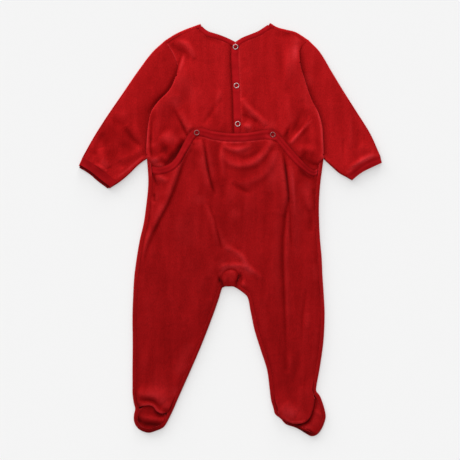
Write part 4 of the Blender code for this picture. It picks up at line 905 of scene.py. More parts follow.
def noise(x, y, scale, seed):
    """Smooth noise from about -1 to 1, with features of about the given size."""
    turns = np.random.default_rng(seed).uniform(0, 2 * math.pi, (NOISE_CELLS, NOISE_CELLS))
    grid_x, grid_y = x / scale + NOISE_SHIFT, y / scale + NOISE_SHIFT
    column, row = np.floor(grid_x).astype(int), np.floor(grid_y).astype(int)
    part_x, part_y = grid_x - column, grid_y - row
    mix_x, mix_y = smoothed(part_x), smoothed(part_y)

    def corner(right, up):
        turn = turns[(column + right) % NOISE_CELLS, (row + up) % NOISE_CELLS]
        return np.cos(turn) * (part_x - right) + np.sin(turn) * (part_y - up)

    low = corner(0, 0) * (1 - mix_x) + corner(1, 0) * mix_x
    high = corner(0, 1) * (1 - mix_x) + corner(1, 1) * mix_x
    return NOISE_GAIN * (low * (1 - mix_y) + high * mix_y)


Wave = namedtuple("Wave", "height squash size")
# Soft unevenness of cloth that has been laid down, from its broad waves to its fine ones
WAVES = table(Wave, (0.45, 0.7, 42), (0.22, 0.8, 19), (0.09, 1, 8))


def unevenness(x, y, seed):
    return sum(wave.height * noise(x, y * wave.squash, wave.size, seed + i) for i, wave in enumerate(WAVES))


def seam(x, y, line, depth, rise, seed, wave=9.0, reach=8.0):
    """A seam's groove, with puckers beside it."""
    away, along, _ = nearest(x, y, line)
    puckers = rise * noise(along, away * 0.3, wave, seed)
    return -depth * bell(away, GROOVE) + puckers * np.exp(-away / reach) * np.minimum(1, away / PUCKERS_IN)


# ---------------------------------------------------------------- cloth
def inside_of(points, outline):
    """Which of the points are inside a closed outline."""
    inside = np.zeros(len(points), bool)
    for start, end in zip(outline[:-1], outline[1:]):
        if start[1] != end[1]:
            crosses = (start[1] > points[:, 1]) != (end[1] > points[:, 1])
            slope = (end[0] - start[0]) / (end[1] - start[1])
            inside ^= crosses & (points[:, 0] < start[0] + (points[:, 1] - start[1]) * slope)
    return inside & (distance_to(points[:, 0], points[:, 1], outline) > RIM_CLEAR)


def fill(outline, step, creases):
    """Fills a closed outline, counter-clockwise, with triangles: points, faces and the rim's indices."""
    closed = np.vstack((outline, outline[:1]))
    low, high = outline.min(axis=0), outline.max(axis=0)
    rows = np.arange(low[1] + step / 2, high[1], step * math.sqrt(0.75))
    inner = np.array([(x, y) for row, y in enumerate(rows)
                      for x in np.arange(low[0] + step * (0.25 + 0.5 * (row % 2)), high[0], step)])
    inner = inner[inside_of(inner, closed)]
    if len(creases):
        cells = {(round(x / STEP), round(y / STEP)) for x, y in creases}
        apart = [(round(x / STEP), round(y / STEP)) not in cells for x, y in inner]
        inner = np.vstack((inner[apart], creases[inside_of(creases, closed)]))
    rim = len(outline)
    points = [Vector(p) for p in np.vstack((outline, inner))]
    edges = [(i, (i + 1) % rim) for i in range(rim)]
    verts, _, faces, origins, _, _ = delaunay_2d_cdt(points, edges, [], INSIDE_ONLY, TOLERANCE)
    flat = np.array([tuple(v) for v in verts])
    where = {source: index for index, sources in enumerate(origins) for source in sources}
    corners = np.array([tuple(face) for face in faces])
    a, b, c = (flat[corners[:, i]] for i in range(3))
    turn = (b[:, 0] - a[:, 0]) * (c[:, 1] - a[:, 1]) - (b[:, 1] - a[:, 1]) * (c[:, 0] - a[:, 0])
    corners[turn < 0] = corners[turn < 0][:, ::-1]
    return flat, [tuple(face) for face in corners.tolist()], [where[i] for i in range(rim)]


# How cloth rolls over at an edge: its radius, up (1) or down (-1), and how far it runs back in
Roll = namedtuple("Roll", "radius turn run")
ROLL_RUNS = (0.35, 0.7, 1.0)
# A stretch of outline, with its roll and its outer edge, or how round a cut edge is
Stretch = namedtuple("Stretch", "curve roll edge soft", defaults=(None, None, 0.0))
# A piece: its points, faces, and the painted shade of each point, from how far it stands above the cloth
# round it, from -1 to 1: ridges painted lighter, creases darker
Shape = namedtuple("Shape", "points faces nap")


def curl(points, faces, rim, normals, roll):
    """Rolls the cloth over along part of its rim, and back in."""
    radius, turn, run = roll
    angles = [math.pi * k / ROLL_STEPS for k in range(1, ROLL_STEPS + 1)]
    turns = [(radius * math.sin(angle), radius * (1 - math.cos(angle))) for angle in angles]
    turns += [(-run * share, 2 * radius) for share in ROLL_RUNS]
    levels = [list(rim)]
    for out, up in turns:
        level = []
        for index, normal in zip(rim, normals):
            x, y, z = points[index]
            level.append(len(points))
            points.append((x - normal[0] * out, y - normal[1] * out, z + turn * up))
        levels.append(level)
    for low, high in zip(levels[:-1], levels[1:]):
        for i in range(len(rim) - 1):
            faces.append((low[i + 1], low[i], high[i], high[i + 1]))


def vertex_normals(points, faces):
    """Unit normals at the points, weighted by area."""
    normals = np.zeros_like(points)
    for size in (3, 4):
        ring = np.array([face for face in faces if len(face) == size], int).reshape(-1, size)
        first, second, third, last = (points[ring[:, i]] for i in (0, 1, 2, size - 1))
        cross = np.cross(third - first, last - second)
        for i in range(size):
            np.add.at(normals, ring[:, i], cross)
    return normals / np.maximum(np.linalg.norm(normals, axis=1), TINY)[:, None]


def sides_of(faces):
    """Each side of each face, as the indices of its two ends."""
    return {(a, b) for face in faces for a, b in zip(face, face[1:] + face[:1])}


def relief(points, faces):
    """How far each point stands above the cloth round it, from -1 to 1."""
    a, b = np.array(sorted({(min(side), max(side)) for side in sides_of(faces)})).T
    count = len(points)
    degree = np.bincount(a, minlength=count) + np.bincount(b, minlength=count)
    smooth = points[:, 2].copy()
    for _ in range(RELIEF_ROUNDS):
        around = np.bincount(a, smooth[b], count) + np.bincount(b, smooth[a], count)
        smooth = (smooth + around / np.maximum(degree, 1)) / 2
    return np.clip((points[:, 2] - smooth) / RELIEF_HEIGHT, -1, 1)


def thicken(points, faces, thickness, soft=None, inner_painted_shade=0.0):
    """A closed wall round a middle surface, with rounded borders; soft is how far each one bulges."""
    points = np.asarray(points, float)
    normals = vertex_normals(points, faces)
    nap = relief(points, faces)
    count = len(points)
    used = sides_of(faces)
    border = sorted((a, b) for a, b in used if (b, a) not in used)
    outward = np.zeros_like(points)
    for a, b in border:
        side = np.cross(points[b] - points[a], normals[a])
        side /= max(np.linalg.norm(side), TINY)
        outward[a] += side
        outward[b] += side
    rim = sorted({a for edge in border for a in edge})
    place = {vertex: 2 * count + i for i, vertex in enumerate(rim)}
    size = np.maximum(np.linalg.norm(outward[rim], axis=1), TINY)
    bulge_by = np.array([EDGE if soft is None else soft.get(vertex, EDGE) for vertex in rim])
    bulge = points[rim] + outward[rim] / size[:, None] * bulge_by[:, None]
    walls = []
    for a, b in border:
        walls.append((b, a, place[a], place[b]))
        walls.append((place[b], place[a], a + count, b + count))
    upper = points + normals * thickness / 2
    lower = points - normals * thickness / 2
    inner = [tuple(i + count for i in reversed(face)) for face in faces]
    # Painted shade: the outer faces and rims by their relief, the inner face by inner_painted_shade
    painted_shade_levels = np.concatenate((nap, np.full(count, float(inner_painted_shade)), nap[rim]))
    return Shape(np.vstack((upper, lower, bulge)), list(faces) + inner + walls, painted_shade_levels)


def rolled(edge, roll, thickness=CLOTH):
    """A stretch of outline whose cloth rolls over, with its outer face at the edge."""
    return Stretch(inset(edge, roll.radius + thickness / 2), roll, edge)


def cut(curve, soft=None):
    """A stretch of outline that is cut: soft is how round a free edge is."""
    return Stretch(even(np.asarray(curve, float), STEP), soft=soft or EDGE)


def panel(stretches, height, step=STEP, thickness=CLOTH, folds=()):
    """A flat-cut piece from the stretches of its outline and the height of its middle at each place."""
    outline, soft, rolls = [], [], []
    for stretch in stretches:
        if stretch.roll:
            rolls.append((len(outline), normals_left(stretch.edge), stretch.roll))
        for p in stretch.curve:
            if stretch.roll or not outline or math.dist(outline[-1], p) > MERGE:
                outline.append(tuple(p))
                soft.append(stretch.soft)
    while math.dist(outline[0], outline[-1]) < MERGE and soft[-1] > 0:
        outline.pop()
        soft.pop()
    outline = np.array(outline)
    along = np.roll(outline, -1, axis=0) - np.roll(outline, 1, axis=0)
    along /= np.linalg.norm(along, axis=1)[:, None]
    inward = np.column_stack((-along[:, 1], along[:, 0]))
    outline = outline + inward * np.array(soft)[:, None]
    flat, faces, rim = fill(outline, step, crease_points(folds))
    points = [tuple(p) for p in np.column_stack((flat, height(flat[:, 0], flat[:, 1])))]
    for first, normals, roll in rolls:
        stretch = [rim[(first + i) % len(rim)] for i in range(len(normals))]
        curl(points, faces, stretch, normals, roll._replace(run=roll.run - EDGE))
    return thicken(points, faces, thickness, {vertex: size for vertex, size in zip(rim, soft) if size})


def ring_faces(count, size, closed=False):
    """Faces between one ring of points and the next, count times, and back to the first if closed."""
    faces = []
    for row in range(count):
        after = (row + 1) % count if closed else row + 1
        for i in range(size):
            j = (i + 1) % size
            faces.append((row * size + i, row * size + j, after * size + j, after * size + i))
    return faces


def ribbon(low, top, height, thickness, profile, free=(False, True)):
    """A band between two edges: a puffed strip, whose thickness across follows a profile from 0 to 1.

    free says which of its edges, the low and the top one, aren't sewn to anything.
    """
    count = round(max(lengths(low)[-1], lengths(top)[-1]) / STEP)
    low, top = even_count(low, count), even_count(top, count)
    shares = (1 - np.cos(np.linspace(0, math.pi, RIBBON_STEPS))) / 2
    below = [FREE_SLOPE * share + THINNEST if open_edge else 1
             for share, open_edge in zip((shares, 1 - shares), free)]
    below = np.minimum(np.minimum(*below), 1)
    above_middle = np.maximum(profile(shares), THINNEST)
    # Painted shade across a band: darker at its thin edges, lighter where it is full, and dark on its lower
    # face
    puffed_painted_shade = np.clip((profile(shares) - BAND_SHADE_LEVEL) * BAND_SHADE_SLOPE, -1, BAND_HIGHLIGHT_MOST)
    points, nap = [], []
    for a, b in zip(low, top):
        across = a + (b - a) * shares[:, None]
        middle = height(across[:, 0], across[:, 1])
        upper = np.column_stack((across, middle + thickness / 2 * above_middle))
        lower = np.column_stack((across, middle - thickness / 2 * below))
        points += [*upper, *lower[::-1]]
        nap += [*puffed_painted_shade] + [-1.0] * RIBBON_STEPS
    size = 2 * RIBBON_STEPS
    faces = [(b, a, d, c) for a, b, c, d in ring_faces(count, size)]
    faces.append(tuple(range(size)))
    faces.append(tuple(count * size + i for i in range(size - 1, -1, -1)))
    return Shape(np.array(points), faces, np.array(nap))


def tube(rings, thickness):
    """An open-ended piece from rings of equally many points."""
    points = [tuple(p) for ring in rings for p in ring]
    # Its inner face gets painted dark shade
    return thicken(points, ring_faces(len(rings) - 1, len(rings[0])), thickness, inner_painted_shade=-1.0)


# ---------------------------------------------------------------- edges of the garment
def side_curve(rows, column):
    return [(getattr(row, column), row.height) for row in rows]


def armhole(column):
    """An armhole seam or the fold beside it, from the shoulder down."""
    return smooth_curve(side_curve(ARMHOLES, column))


def edge_of(rows, name):
    """Smooth curve through the points that a table gives under one name."""
    return smooth_curve([(getattr(row, name + "_x"), getattr(row, name + "_y")) for row in rows])


def front_neck():
    """Front neckline, hidden below the back: from the right shoulder to the left."""
    neck = SHOULDERS[0]
    rows = []
    for share in np.linspace(0, 1, FRONT_NECK_POINTS):
        level = neck.right_y + (neck.left_y - neck.right_y) * share
        drop = FRONT_NECK_DEPTH * (1 - abs(1 - 2 * share) ** FRONT_NECK_ROUND)
        rows.append((neck.right_x + (neck.left_x - neck.right_x) * share, level - drop))
    return smooth_curve(rows)


LEG_LEFT = smooth_curve(side_curve(SIDES, "left") + FOOT_LEFT + side_curve(INSEAMS, "left")[::-1])
LEG_RIGHT = smooth_curve(side_curve(INSEAMS, "right") + FOOT_RIGHT + side_curve(SIDES, "right")[::-1])
SHOULDER_LEFT, SHOULDER_RIGHT = edge_of(SHOULDERS, "left"), edge_of(SHOULDERS, "right")
SEAM_LEFT, SEAM_RIGHT = armhole("left_seam"), armhole("right_seam")
FOLD_LEFT, FOLD_RIGHT = armhole("left_fold"), armhole("right_fold")
NECKLINE_LEFT, NECKLINE_RIGHT = smooth_curve(NECK_LEFT), smooth_curve(NECK_RIGHT)
FRONT_NECKLINE = front_neck()
PLACKET_EDGE = smooth_curve(side_curve(PLACKET, "edge"))
HEELS = (smooth_curve(HEEL_LEFT), smooth_curve(HEEL_RIGHT))
GUSSET_SEAM = smooth_curve(GUSSET)
CROTCH_EDGE = smooth_curve(CROTCH)
BAND_LOW, BAND_TOP = edge_of(SEAT_BAND, "low"), edge_of(SEAT_BAND, "top")
BAND_MIDDLE = (even_count(BAND_LOW, 80) + even_count(BAND_TOP, 80)) / 2
# Lines that the side seams follow, inside the edges
SIDE_LEFT, SIDE_RIGHT = (inset(leg, SEAM_IN + GAP / 2) for leg in (LEG_LEFT, LEG_RIGHT))


# ---------------------------------------------------------------- heights of the layers
def back_edge(x, y, seams, inner):
    """Level of an upper back: the seams' level along its edges, inner away from them."""
    away = distance_to(x, y, seams)
    return SEAM_LAYER + (inner - SEAM_LAYER) * ease(away, *SEAM_BLEND)


def over_sleeve(x, y, level, fold, top):
    """Raises an upper back where it folds over the sleeve, up to the height top."""
    away = distance_to(x, y, fold)
    along = ease(y, *FOLD_RISE) * (1 - ease(y - top, *FOLD_FALL))
    return level + (FOLD_LAYER - level) * along * (1 - ease(away, *FOLD_BLEND))


def tail(x, y, level, side):
    """Lowers the hidden tail of an upper back beside the side seam, and most under the band's end."""
    level = level - (level - BACK_UNDER) * (1 - ease(y, *TAIL_LOW)) * ease(side * x, *TAIL_OUT)
    return level - (level - CORNER_LAYER) * (1 - ease(y, *CORNER_LOW)) * ease(side * x, *CORNER_OUT)


def back_left_level(x, y):
    inner = BACK_UNDER + (BACK_INNER - BACK_UNDER) * ease(-x, *UNDER_PLACKET)
    level = back_edge(x, y, np.vstack((SHOULDER_LEFT[:-1], above(SEAM_LEFT, SEAM_FREE_LEFT))), inner)
    return tail(x, y, over_sleeve(x, y, level, FOLD_LEFT, FOLD_TOP_LEFT), -1)


def back_right_level(x, y):
    inner = BACK_OVER + (BACK_INNER - BACK_OVER) * ease(x, *BESIDE_PLACKET)
    level = back_edge(x, y, np.vstack((SHOULDER_RIGHT[:-1], above(SEAM_RIGHT, SEAM_FREE_RIGHT))), inner)
    return tail(x, y, over_sleeve(x, y, level, FOLD_RIGHT, FOLD_TOP_RIGHT), 1)


def free_of_seat(x, y):
    """0 where the seat lies on the upper back, 1 clear of it."""
    return ease(y - np.interp(x, BAND_TOP[:, 0], BAND_TOP[:, 1]), *BAND_FREE)


def laid_on(level, detail, free):
    """A lower layer: its rises fade out where another lies on it, and its dips stay clear of the front."""
    return np.maximum(level + np.minimum(detail, 0) + np.maximum(detail, 0) * free, BACK_LOWEST)


def back_left_height(x, y):
    neck = inset(NECKLINE_LEFT[::-1], NECK_BAND)
    detail = folds_height(x, y, BACK_LEFT_FOLDS) + unevenness(x, y, 11) * ease(-x, *UNEVEN_LEFT)
    detail += seam(x, y, neck, 0.0, 0.4, 21) + seam(x, y, inset(SHOULDER_LEFT, SHOULDER_IN), 0.2, 0.35, 22)
    detail += seam(x, y, above(SEAM_LEFT, SEAM_FREE_LEFT), -0.35, 0.4, 23)
    beside = bell(distance_to(x, y, PLACKET_EDGE - (0.8, 0)), 3.0)
    free = free_of_seat(x, y) * ease(-x, *UNDERLAP_FREE)
    return laid_on(back_left_level(x, y), detail - 0.9 * beside, free)


def back_right_height(x, y):
    neck = inset(NECKLINE_RIGHT, NECK_BAND)
    detail = folds_height(x, y, BACK_RIGHT_FOLDS) + unevenness(x, y, 12) * ease(x, *UNEVEN_RIGHT)
    detail += seam(x, y, neck, 0.0, 0.4, 24) + seam(x, y, inset(SHOULDER_RIGHT, SHOULDER_IN), 0.2, 0.35, 25)
    detail += seam(x, y, PLACKET_EDGE + (PLACKET_WIDTH, 0), 0.15, 0.3, 26)
    detail += seam(x, y, above(SEAM_RIGHT, SEAM_FREE_RIGHT), 0.15, 0.4, 27)
    return laid_on(back_right_level(x, y), detail, free_of_seat(x, y))


def dimple(x, y, snaps):
    """Cloth pressed down under the snaps and pushed up round them."""
    total = np.zeros(np.shape(x))
    for snap in snaps:
        away = np.hypot(x - snap.x, y - snap.y)
        total -= PRESSED.height * np.exp(-(away / PRESSED.width) ** 4)
        total += PUSHED.height * bell(away - PUSHED.away, PUSHED.width)
    return total


def placket_height(x, y):
    ripple = 0.25 * noise(x * 0.4, y, 11, 31) + dimple(x, y, SNAPS[:3]) * 0.7
    return laid_on(PLACKET_LAYER, ripple, free_of_seat(x, y))


def neck_left_height(x, y):
    return NECK_LAYER + (BACK_UNDER + 0.1 - NECK_LAYER) * ease(x, *NECK_LEFT_RISE)


def neck_right_height(x, y):
    return PLACKET_LAYER + (NECK_LAYER - PLACKET_LAYER) * ease(x, *NECK_RIGHT_RISE)


def inside_leg(x, y):
    """How far each point is from the outer edges of the body and the legs."""
    return np.minimum(distance_to(x, y, LEG_LEFT), distance_to(x, y, LEG_RIGHT))


def seat_lift(x, y):
    """How much the seat stands off the upper back."""
    return SEAT_LIFT * ease(inside_leg(x, y) - SEAM_IN, *LIFT_IN)


def seat_level(x, y):
    """Seat and back legs: over the front, the upper back's tails, and the soles at the heels."""
    left, right = back_left_level(x, y), back_right_level(x, y)
    tails = left + (right - left) * ease(x, *SEAT_MIDDLE)
    placket = PLACKET_LAYER + BAND_UP
    hump = (1 - ease(np.abs(x - PLACKET_MIDDLE), *PLACKET_HUMP)) * (placket - tails)
    over = np.maximum(tails + np.maximum(hump, 0) + LAYER + SEAT_CLEAR + seat_lift(x, y), SEAT_LAYER)
    level = SEAT_LAYER + (over - SEAT_LAYER) * ease(y, *SEAT_OVER_TAILS)
    level = SEAM_LAYER + (level - SEAM_LAYER) * ease(inside_leg(x, y) - SEAM_IN, 0, SIDE_BLEND)
    ends = np.minimum(*(np.hypot(x - end.x, y - end.y) for end in (HEEL_LEFT[0], HEEL_LEFT[-1])))
    heel_left, heel_right = (1 - ease(distance_to(x, y, heel), *HEEL_BLEND) for heel in HEELS)
    heel = np.maximum(heel_left * ease(ends, *HEEL_END), heel_right)
    return level + (HEEL_LAYER - level) * heel


def seat_detail(x, y):
    """Creases and unevenness of the seat."""
    detail = folds_height(x, y, SEAT_FOLDS) + SOFT_FOLDS * unevenness(x, y, 13)
    return detail * ease(inside_leg(x, y) - SEAM_IN, *SEAT_SOFT)


def over_tails(x, y, detail, room):
    """Detail of the seat, whose troughs stay clear of the upper back below it."""
    deepest = -room - seat_lift(x, y) - 2 * ease(np.abs(x), *TAILS_END)
    return np.where(y > TAILS_TOP, np.maximum(detail, deepest), detail)


def seat_height(x, y):
    detail = seat_detail(x, y)
    detail += seam(x, y, SIDE_LEFT, 0.2, 0.3, 41) + seam(x, y, SIDE_RIGHT, 0.25, 0.3, 42)
    detail += seam(x, y, GUSSET_SEAM, 0.4, 0.5, 43, wave=6)
    detail += seam(x, y, BAND_LOW, 0.05, 0.5, 44, reach=10)
    return seat_level(x, y) + over_tails(x, y, detail, 0.35)


def seat_band_height(x, y):
    detail = seat_detail(x, y) + dimple(x, y, SNAPS[3:]) + 0.3 * noise(x, y, 10, 45)
    detail -= 0.35 * bell(distance_to(x, y, BAND_MIDDLE), 1.1) * ease(x, *BAND_CREASED)
    return seat_level(x, y) + BAND_UP + over_tails(x, y, detail, 0.3)


def sole_height(x, y):
    uneven = 0.3 * noise(x, y, 12, 51) * ease(inside_leg(x, y) - SEAM_IN, *SOLE_UNEVEN)
    detail = uneven + folds_height(x, y, SOLE_FOLDS)
    for heel, (depth, width) in zip(HEELS, HEEL_DIPS):
        detail -= depth * bell(distance_to(x, y, heel), width)
    return np.maximum(SOLE_LAYER + detail, BACK_LOWEST)


def sleeve_level(x, y, edges, fold, side, top):
    """Upper layer of a sleeve: low where the back folds over it, soft and full outside."""
    line = fold[np.argsort(fold[:, 1])]
    outside = side * (x - np.interp(y, line[:, 1], line[:, 0]))
    under = SLEEVE_UNDER + (SEAM_LAYER - SLEEVE_UNDER) * ease(y - top, *SLEEVE_SEAM)
    inner = under + (SLEEVE_LAYER - under) * ease(outside, *SLEEVE_OUT)
    away = np.minimum(distance_to(x, y, edges[0]), distance_to(x, y, edges[1]))
    return SEAM_LAYER + (inner - SEAM_LAYER) * ease(away, *SLEEVE_EDGE), outside, away


# ---------------------------------------------------------------- pieces
def make_front():
    side = Roll(ROLL, 1, SEAM_IN - ROLL_OUT)
    shoulder = Roll(ROLL, 1, SHOULDER_IN - ROLL_OUT)
    neck = inset(FRONT_NECKLINE, NECK_BAND + GAP)
    neck = clear_of(clear_of(neck, SHOULDER_LEFT, ROLL_OUT), SHOULDER_RIGHT, ROLL_OUT)
    return panel([
        rolled(part_of(SHOULDER_LEFT, NECK_BAND + GAP, lengths(SHOULDER_LEFT)[-1] - GAP), shoulder),
        cut(part_of(inset(SEAM_LEFT, GAP / 2), ROLL_OUT + END_GAP)[:-1]),
        rolled(LEG_LEFT, side),
        cut(inset(CROTCH_EDGE, ROLL_OUT + GUSSET_UNDER + GAP)),
        rolled(LEG_RIGHT, side),
        cut(part_of(inset(SEAM_RIGHT[::-1], GAP / 2), 1, lengths(SEAM_RIGHT)[-1] - ROLL_OUT - END_GAP)),
        rolled(part_of(SHOULDER_RIGHT[::-1], GAP, lengths(SHOULDER_RIGHT)[-1] - NECK_BAND - GAP), shoulder),
        cut(neck)],
        lambda x, y: np.full(np.shape(x), FLOOR_LAYER), step=HIDDEN_STEP)


def make_back_left():
    neck_in, shoulder_in = NECK_BAND + GAP, SHOULDER_IN + GAP
    underlap = between(PLACKET_EDGE[::-1], HEM, UNDERLAP_TOP) + (UNDERLAP, 0)
    return panel([
        cut(clear_of(inset(NECKLINE_LEFT[::-1], neck_in), SHOULDER_LEFT, shoulder_in)),
        cut(clear_of(inset(SHOULDER_LEFT[:-1], shoulder_in), NECKLINE_LEFT, neck_in)),
        cut(clear_of(above(inset(SEAM_LEFT, GAP / 2), SEAM_FREE_LEFT), SHOULDER_LEFT, shoulder_in)),
        cut(between(FOLD_LEFT, FOLD_TOP_LEFT + 1, SEAM_FREE_LEFT)),
        rolled(between(FOLD_LEFT, FOLD_LOW, FOLD_TOP_LEFT), Roll(FOLD_ROLL, -1, FOLD_UNDER)),
        cut(between(FOLD_LEFT, *BELOW_FOLD)),
        cut(between(inset(LEG_LEFT, SEAM_IN + GAP), *BACK_LEFT_SIDE)),
        cut(TAIL_LEFT),
        cut([TAIL_LEFT[-1], (underlap[0][0], HEM)]),
        cut(underlap, FREE_EDGE)],
        back_left_height, folds=BACK_LEFT_FOLDS)


def placket_side(across):
    """A line down the placket, at a distance from its edge."""
    return between(PLACKET_EDGE, HEM, PLACKET_TOP) + (across, 0)


def make_back_right():
    neck_in, shoulder_in = NECK_BAND + GAP, SHOULDER_IN + GAP
    edge = placket_side(PLACKET_WIDTH + GAP)
    neck = clear_of(inset(NECKLINE_RIGHT, neck_in), SHOULDER_RIGHT, shoulder_in)
    return panel([
        cut([(edge[-1][0], HEM), TAIL_RIGHT[0]]),
        cut(TAIL_RIGHT),
        cut(between(inset(LEG_RIGHT, SEAM_IN + GAP), *BACK_RIGHT_SIDE)),
        cut(between(FOLD_RIGHT, *BELOW_FOLD)[::-1]),
        rolled(between(FOLD_RIGHT, FOLD_LOW, FOLD_TOP_RIGHT)[::-1], Roll(FOLD_ROLL, -1, FOLD_UNDER)),
        cut(between(FOLD_RIGHT, FOLD_TOP_RIGHT + 1, SEAM_FREE_RIGHT)[::-1]),
        cut(clear_of(above(inset(SEAM_RIGHT[::-1], GAP / 2), SEAM_FREE_RIGHT), SHOULDER_RIGHT, shoulder_in)),
        cut(clear_of(inset(SHOULDER_RIGHT[::-1][1:], shoulder_in), NECKLINE_RIGHT, neck_in)),
        cut(neck[neck[:, 0] > edge[0][0] + 2]),
        cut(edge)],
        back_right_height, folds=BACK_RIGHT_FOLDS)


def puffed(shares):
    """Across a band: round edges."""
    return np.minimum(1, 1.25 * (1 - np.abs(2 * shares - 1) ** 2.6)) ** 0.8


def sewn(shares):
    """Across a band that is sewn down at its far edge: only the near one is round."""
    return np.where(shares < 0.5, puffed(shares), 1 - 0.4 * ease(shares, 0.65, 1))


def bound(shares):
    """Across the seat's band: a free top edge, the line where it is stitched, and a flat seam below."""
    flat = 1 - 0.6 * (1 - ease(shares, 0, 0.25))
    return np.where(shares > 0.5, puffed(shares), flat) - 0.12 * bell(shares - 0.5, 0.09)


def make_placket():
    left, right = placket_side(0), placket_side(PLACKET_WIDTH)
    return ribbon(left, right, placket_height, BAND, sewn, free=(True, False))


def make_neck_left():
    low = clear_of(inset(NECKLINE_LEFT[::-1], NECK_BAND), SHOULDER_LEFT, SHOULDER_IN + GAP)[::-1]
    top = clear_of(NECKLINE_LEFT, SHOULDER_LEFT, SHOULDER_IN + GAP)
    return ribbon(low, top, neck_left_height, BAND, lambda shares: sewn(1 - shares))


def make_neck_right():
    low = clear_of(inset(NECKLINE_RIGHT, NECK_BAND), SHOULDER_RIGHT, SHOULDER_IN + GAP)
    top = clear_of(NECKLINE_RIGHT, SHOULDER_RIGHT, SHOULDER_IN + GAP)
    return ribbon(top, low, neck_right_height, BAND, sewn, free=(True, False))


def make_neck_front():
    roll = Roll(ROLL, 1, SHOULDER_IN - ROLL_OUT)
    low, top = (clear_of(clear_of(line, SHOULDER_LEFT, NECK_FRONT_IN), SHOULDER_RIGHT, NECK_FRONT_IN)
                for line in (inset(FRONT_NECKLINE, NECK_BAND), FRONT_NECKLINE))
    return panel([
        rolled(part_of(SHOULDER_RIGHT, 0, NECK_BAND)[::-1], roll, BAND),
        cut(top),
        rolled(part_of(SHOULDER_LEFT, 0, NECK_BAND), roll, BAND),
        cut(low[::-1])],
        lambda x, y: np.full(np.shape(x), BAND / 2), thickness=BAND)


def make_seat():
    seam_in = SEAM_IN + GAP
    lowest_left, lowest_right = LEG_LEFT[:, 1].argmin(), LEG_RIGHT[:, 1].argmin()
    left, right = inset(LEG_LEFT, seam_in), inset(LEG_RIGHT, seam_in)
    arch = clear_of(clear_of(inset(GUSSET_SEAM, GAP), LEG_LEFT, seam_in), LEG_RIGHT, seam_in)
    return panel([
        cut(between(left[:lowest_left], *SEAT_LEFT_OUTER)),
        cut(HEELS[0], FREE_EDGE),
        cut(clear_of(between(left[lowest_left:], *SEAT_LEFT_INNER), GUSSET_SEAM, 2)),
        cut(arch),
        cut(clear_of(between(right[:lowest_right], *SEAT_RIGHT_INNER), GUSSET_SEAM, 2)),
        cut(HEELS[1], FREE_EDGE),
        cut(between(right[lowest_right:], *SEAT_RIGHT_OUTER)),
        cut((BAND_LOW - normals_left(BAND_LOW) * GAP)[::-1])],
        seat_height, folds=SEAT_FOLDS)


def make_seat_band():
    return ribbon(BAND_LOW, BAND_TOP, seat_band_height, BAND, bound)


def make_gusset():
    arch = above(GUSSET_SEAM[::-1], GUSSET[0].y + ROLL_OUT + 1)
    fold_under = rolled(CROTCH_EDGE, Roll(ROLL, -1, GUSSET_UNDER))
    return panel([cut(arch), fold_under], gusset_height, step=SMALL_STEP)


def gusset_height(x, y):
    away = distance_to(x, y, GUSSET_SEAM)
    detail = 0.8 * ease(away, 0, 9) - 0.7 * bell(away, 1.5) + 0.4 * noise(x, y * 0.5, 4.5, 61)
    return SEAM_LAYER + 0.5 * ease(y, *GUSSET_RISE) + detail * ease(y, *GUSSET_FULL)


def make_sole(leg, first, second, hidden):
    """A sole between the seams of its foot: first and second say how far it follows them."""
    foot = inset(leg, SEAM_IN + GAP)
    lowest = leg[:, 1].argmin()
    down, up = between(foot[:lowest], *first), between(foot[lowest:], *second)
    if leg is LEG_RIGHT:
        down = down[down[:, 0] > SOLE_RIGHT_FROM]
    return panel([cut(down), cut(up), cut(smooth_curve(hidden))], sole_height, folds=SOLE_FOLDS)


def make_sole_left():
    return make_sole(LEG_LEFT, SOLE_LEFT_OUTER, SOLE_LEFT_INNER, SOLE_HIDDEN_LEFT)


def make_sole_right():
    return make_sole(LEG_RIGHT, SOLE_RIGHT_INNER, SOLE_RIGHT_OUTER, SOLE_HIDDEN_RIGHT)


def unit(vectors):
    return vectors / np.linalg.norm(vectors, axis=1)[:, None]


def slant(across, normals):
    """How squarely a line across a tube meets its edge."""
    return np.clip(np.abs((across * normals).sum(axis=1)), LEAST_SLANT, 1)[:, None]


def roll_points(base, outward, floor):
    """Points round a rolled edge between its lower and upper layer."""
    angles = math.pi * np.arange(1, ROLL_STEPS) / ROLL_STEPS
    flat = base + outward * ROLL * np.sin(angles)[:, None]
    return np.column_stack((flat, floor + ROLL * (1 - np.cos(angles))))


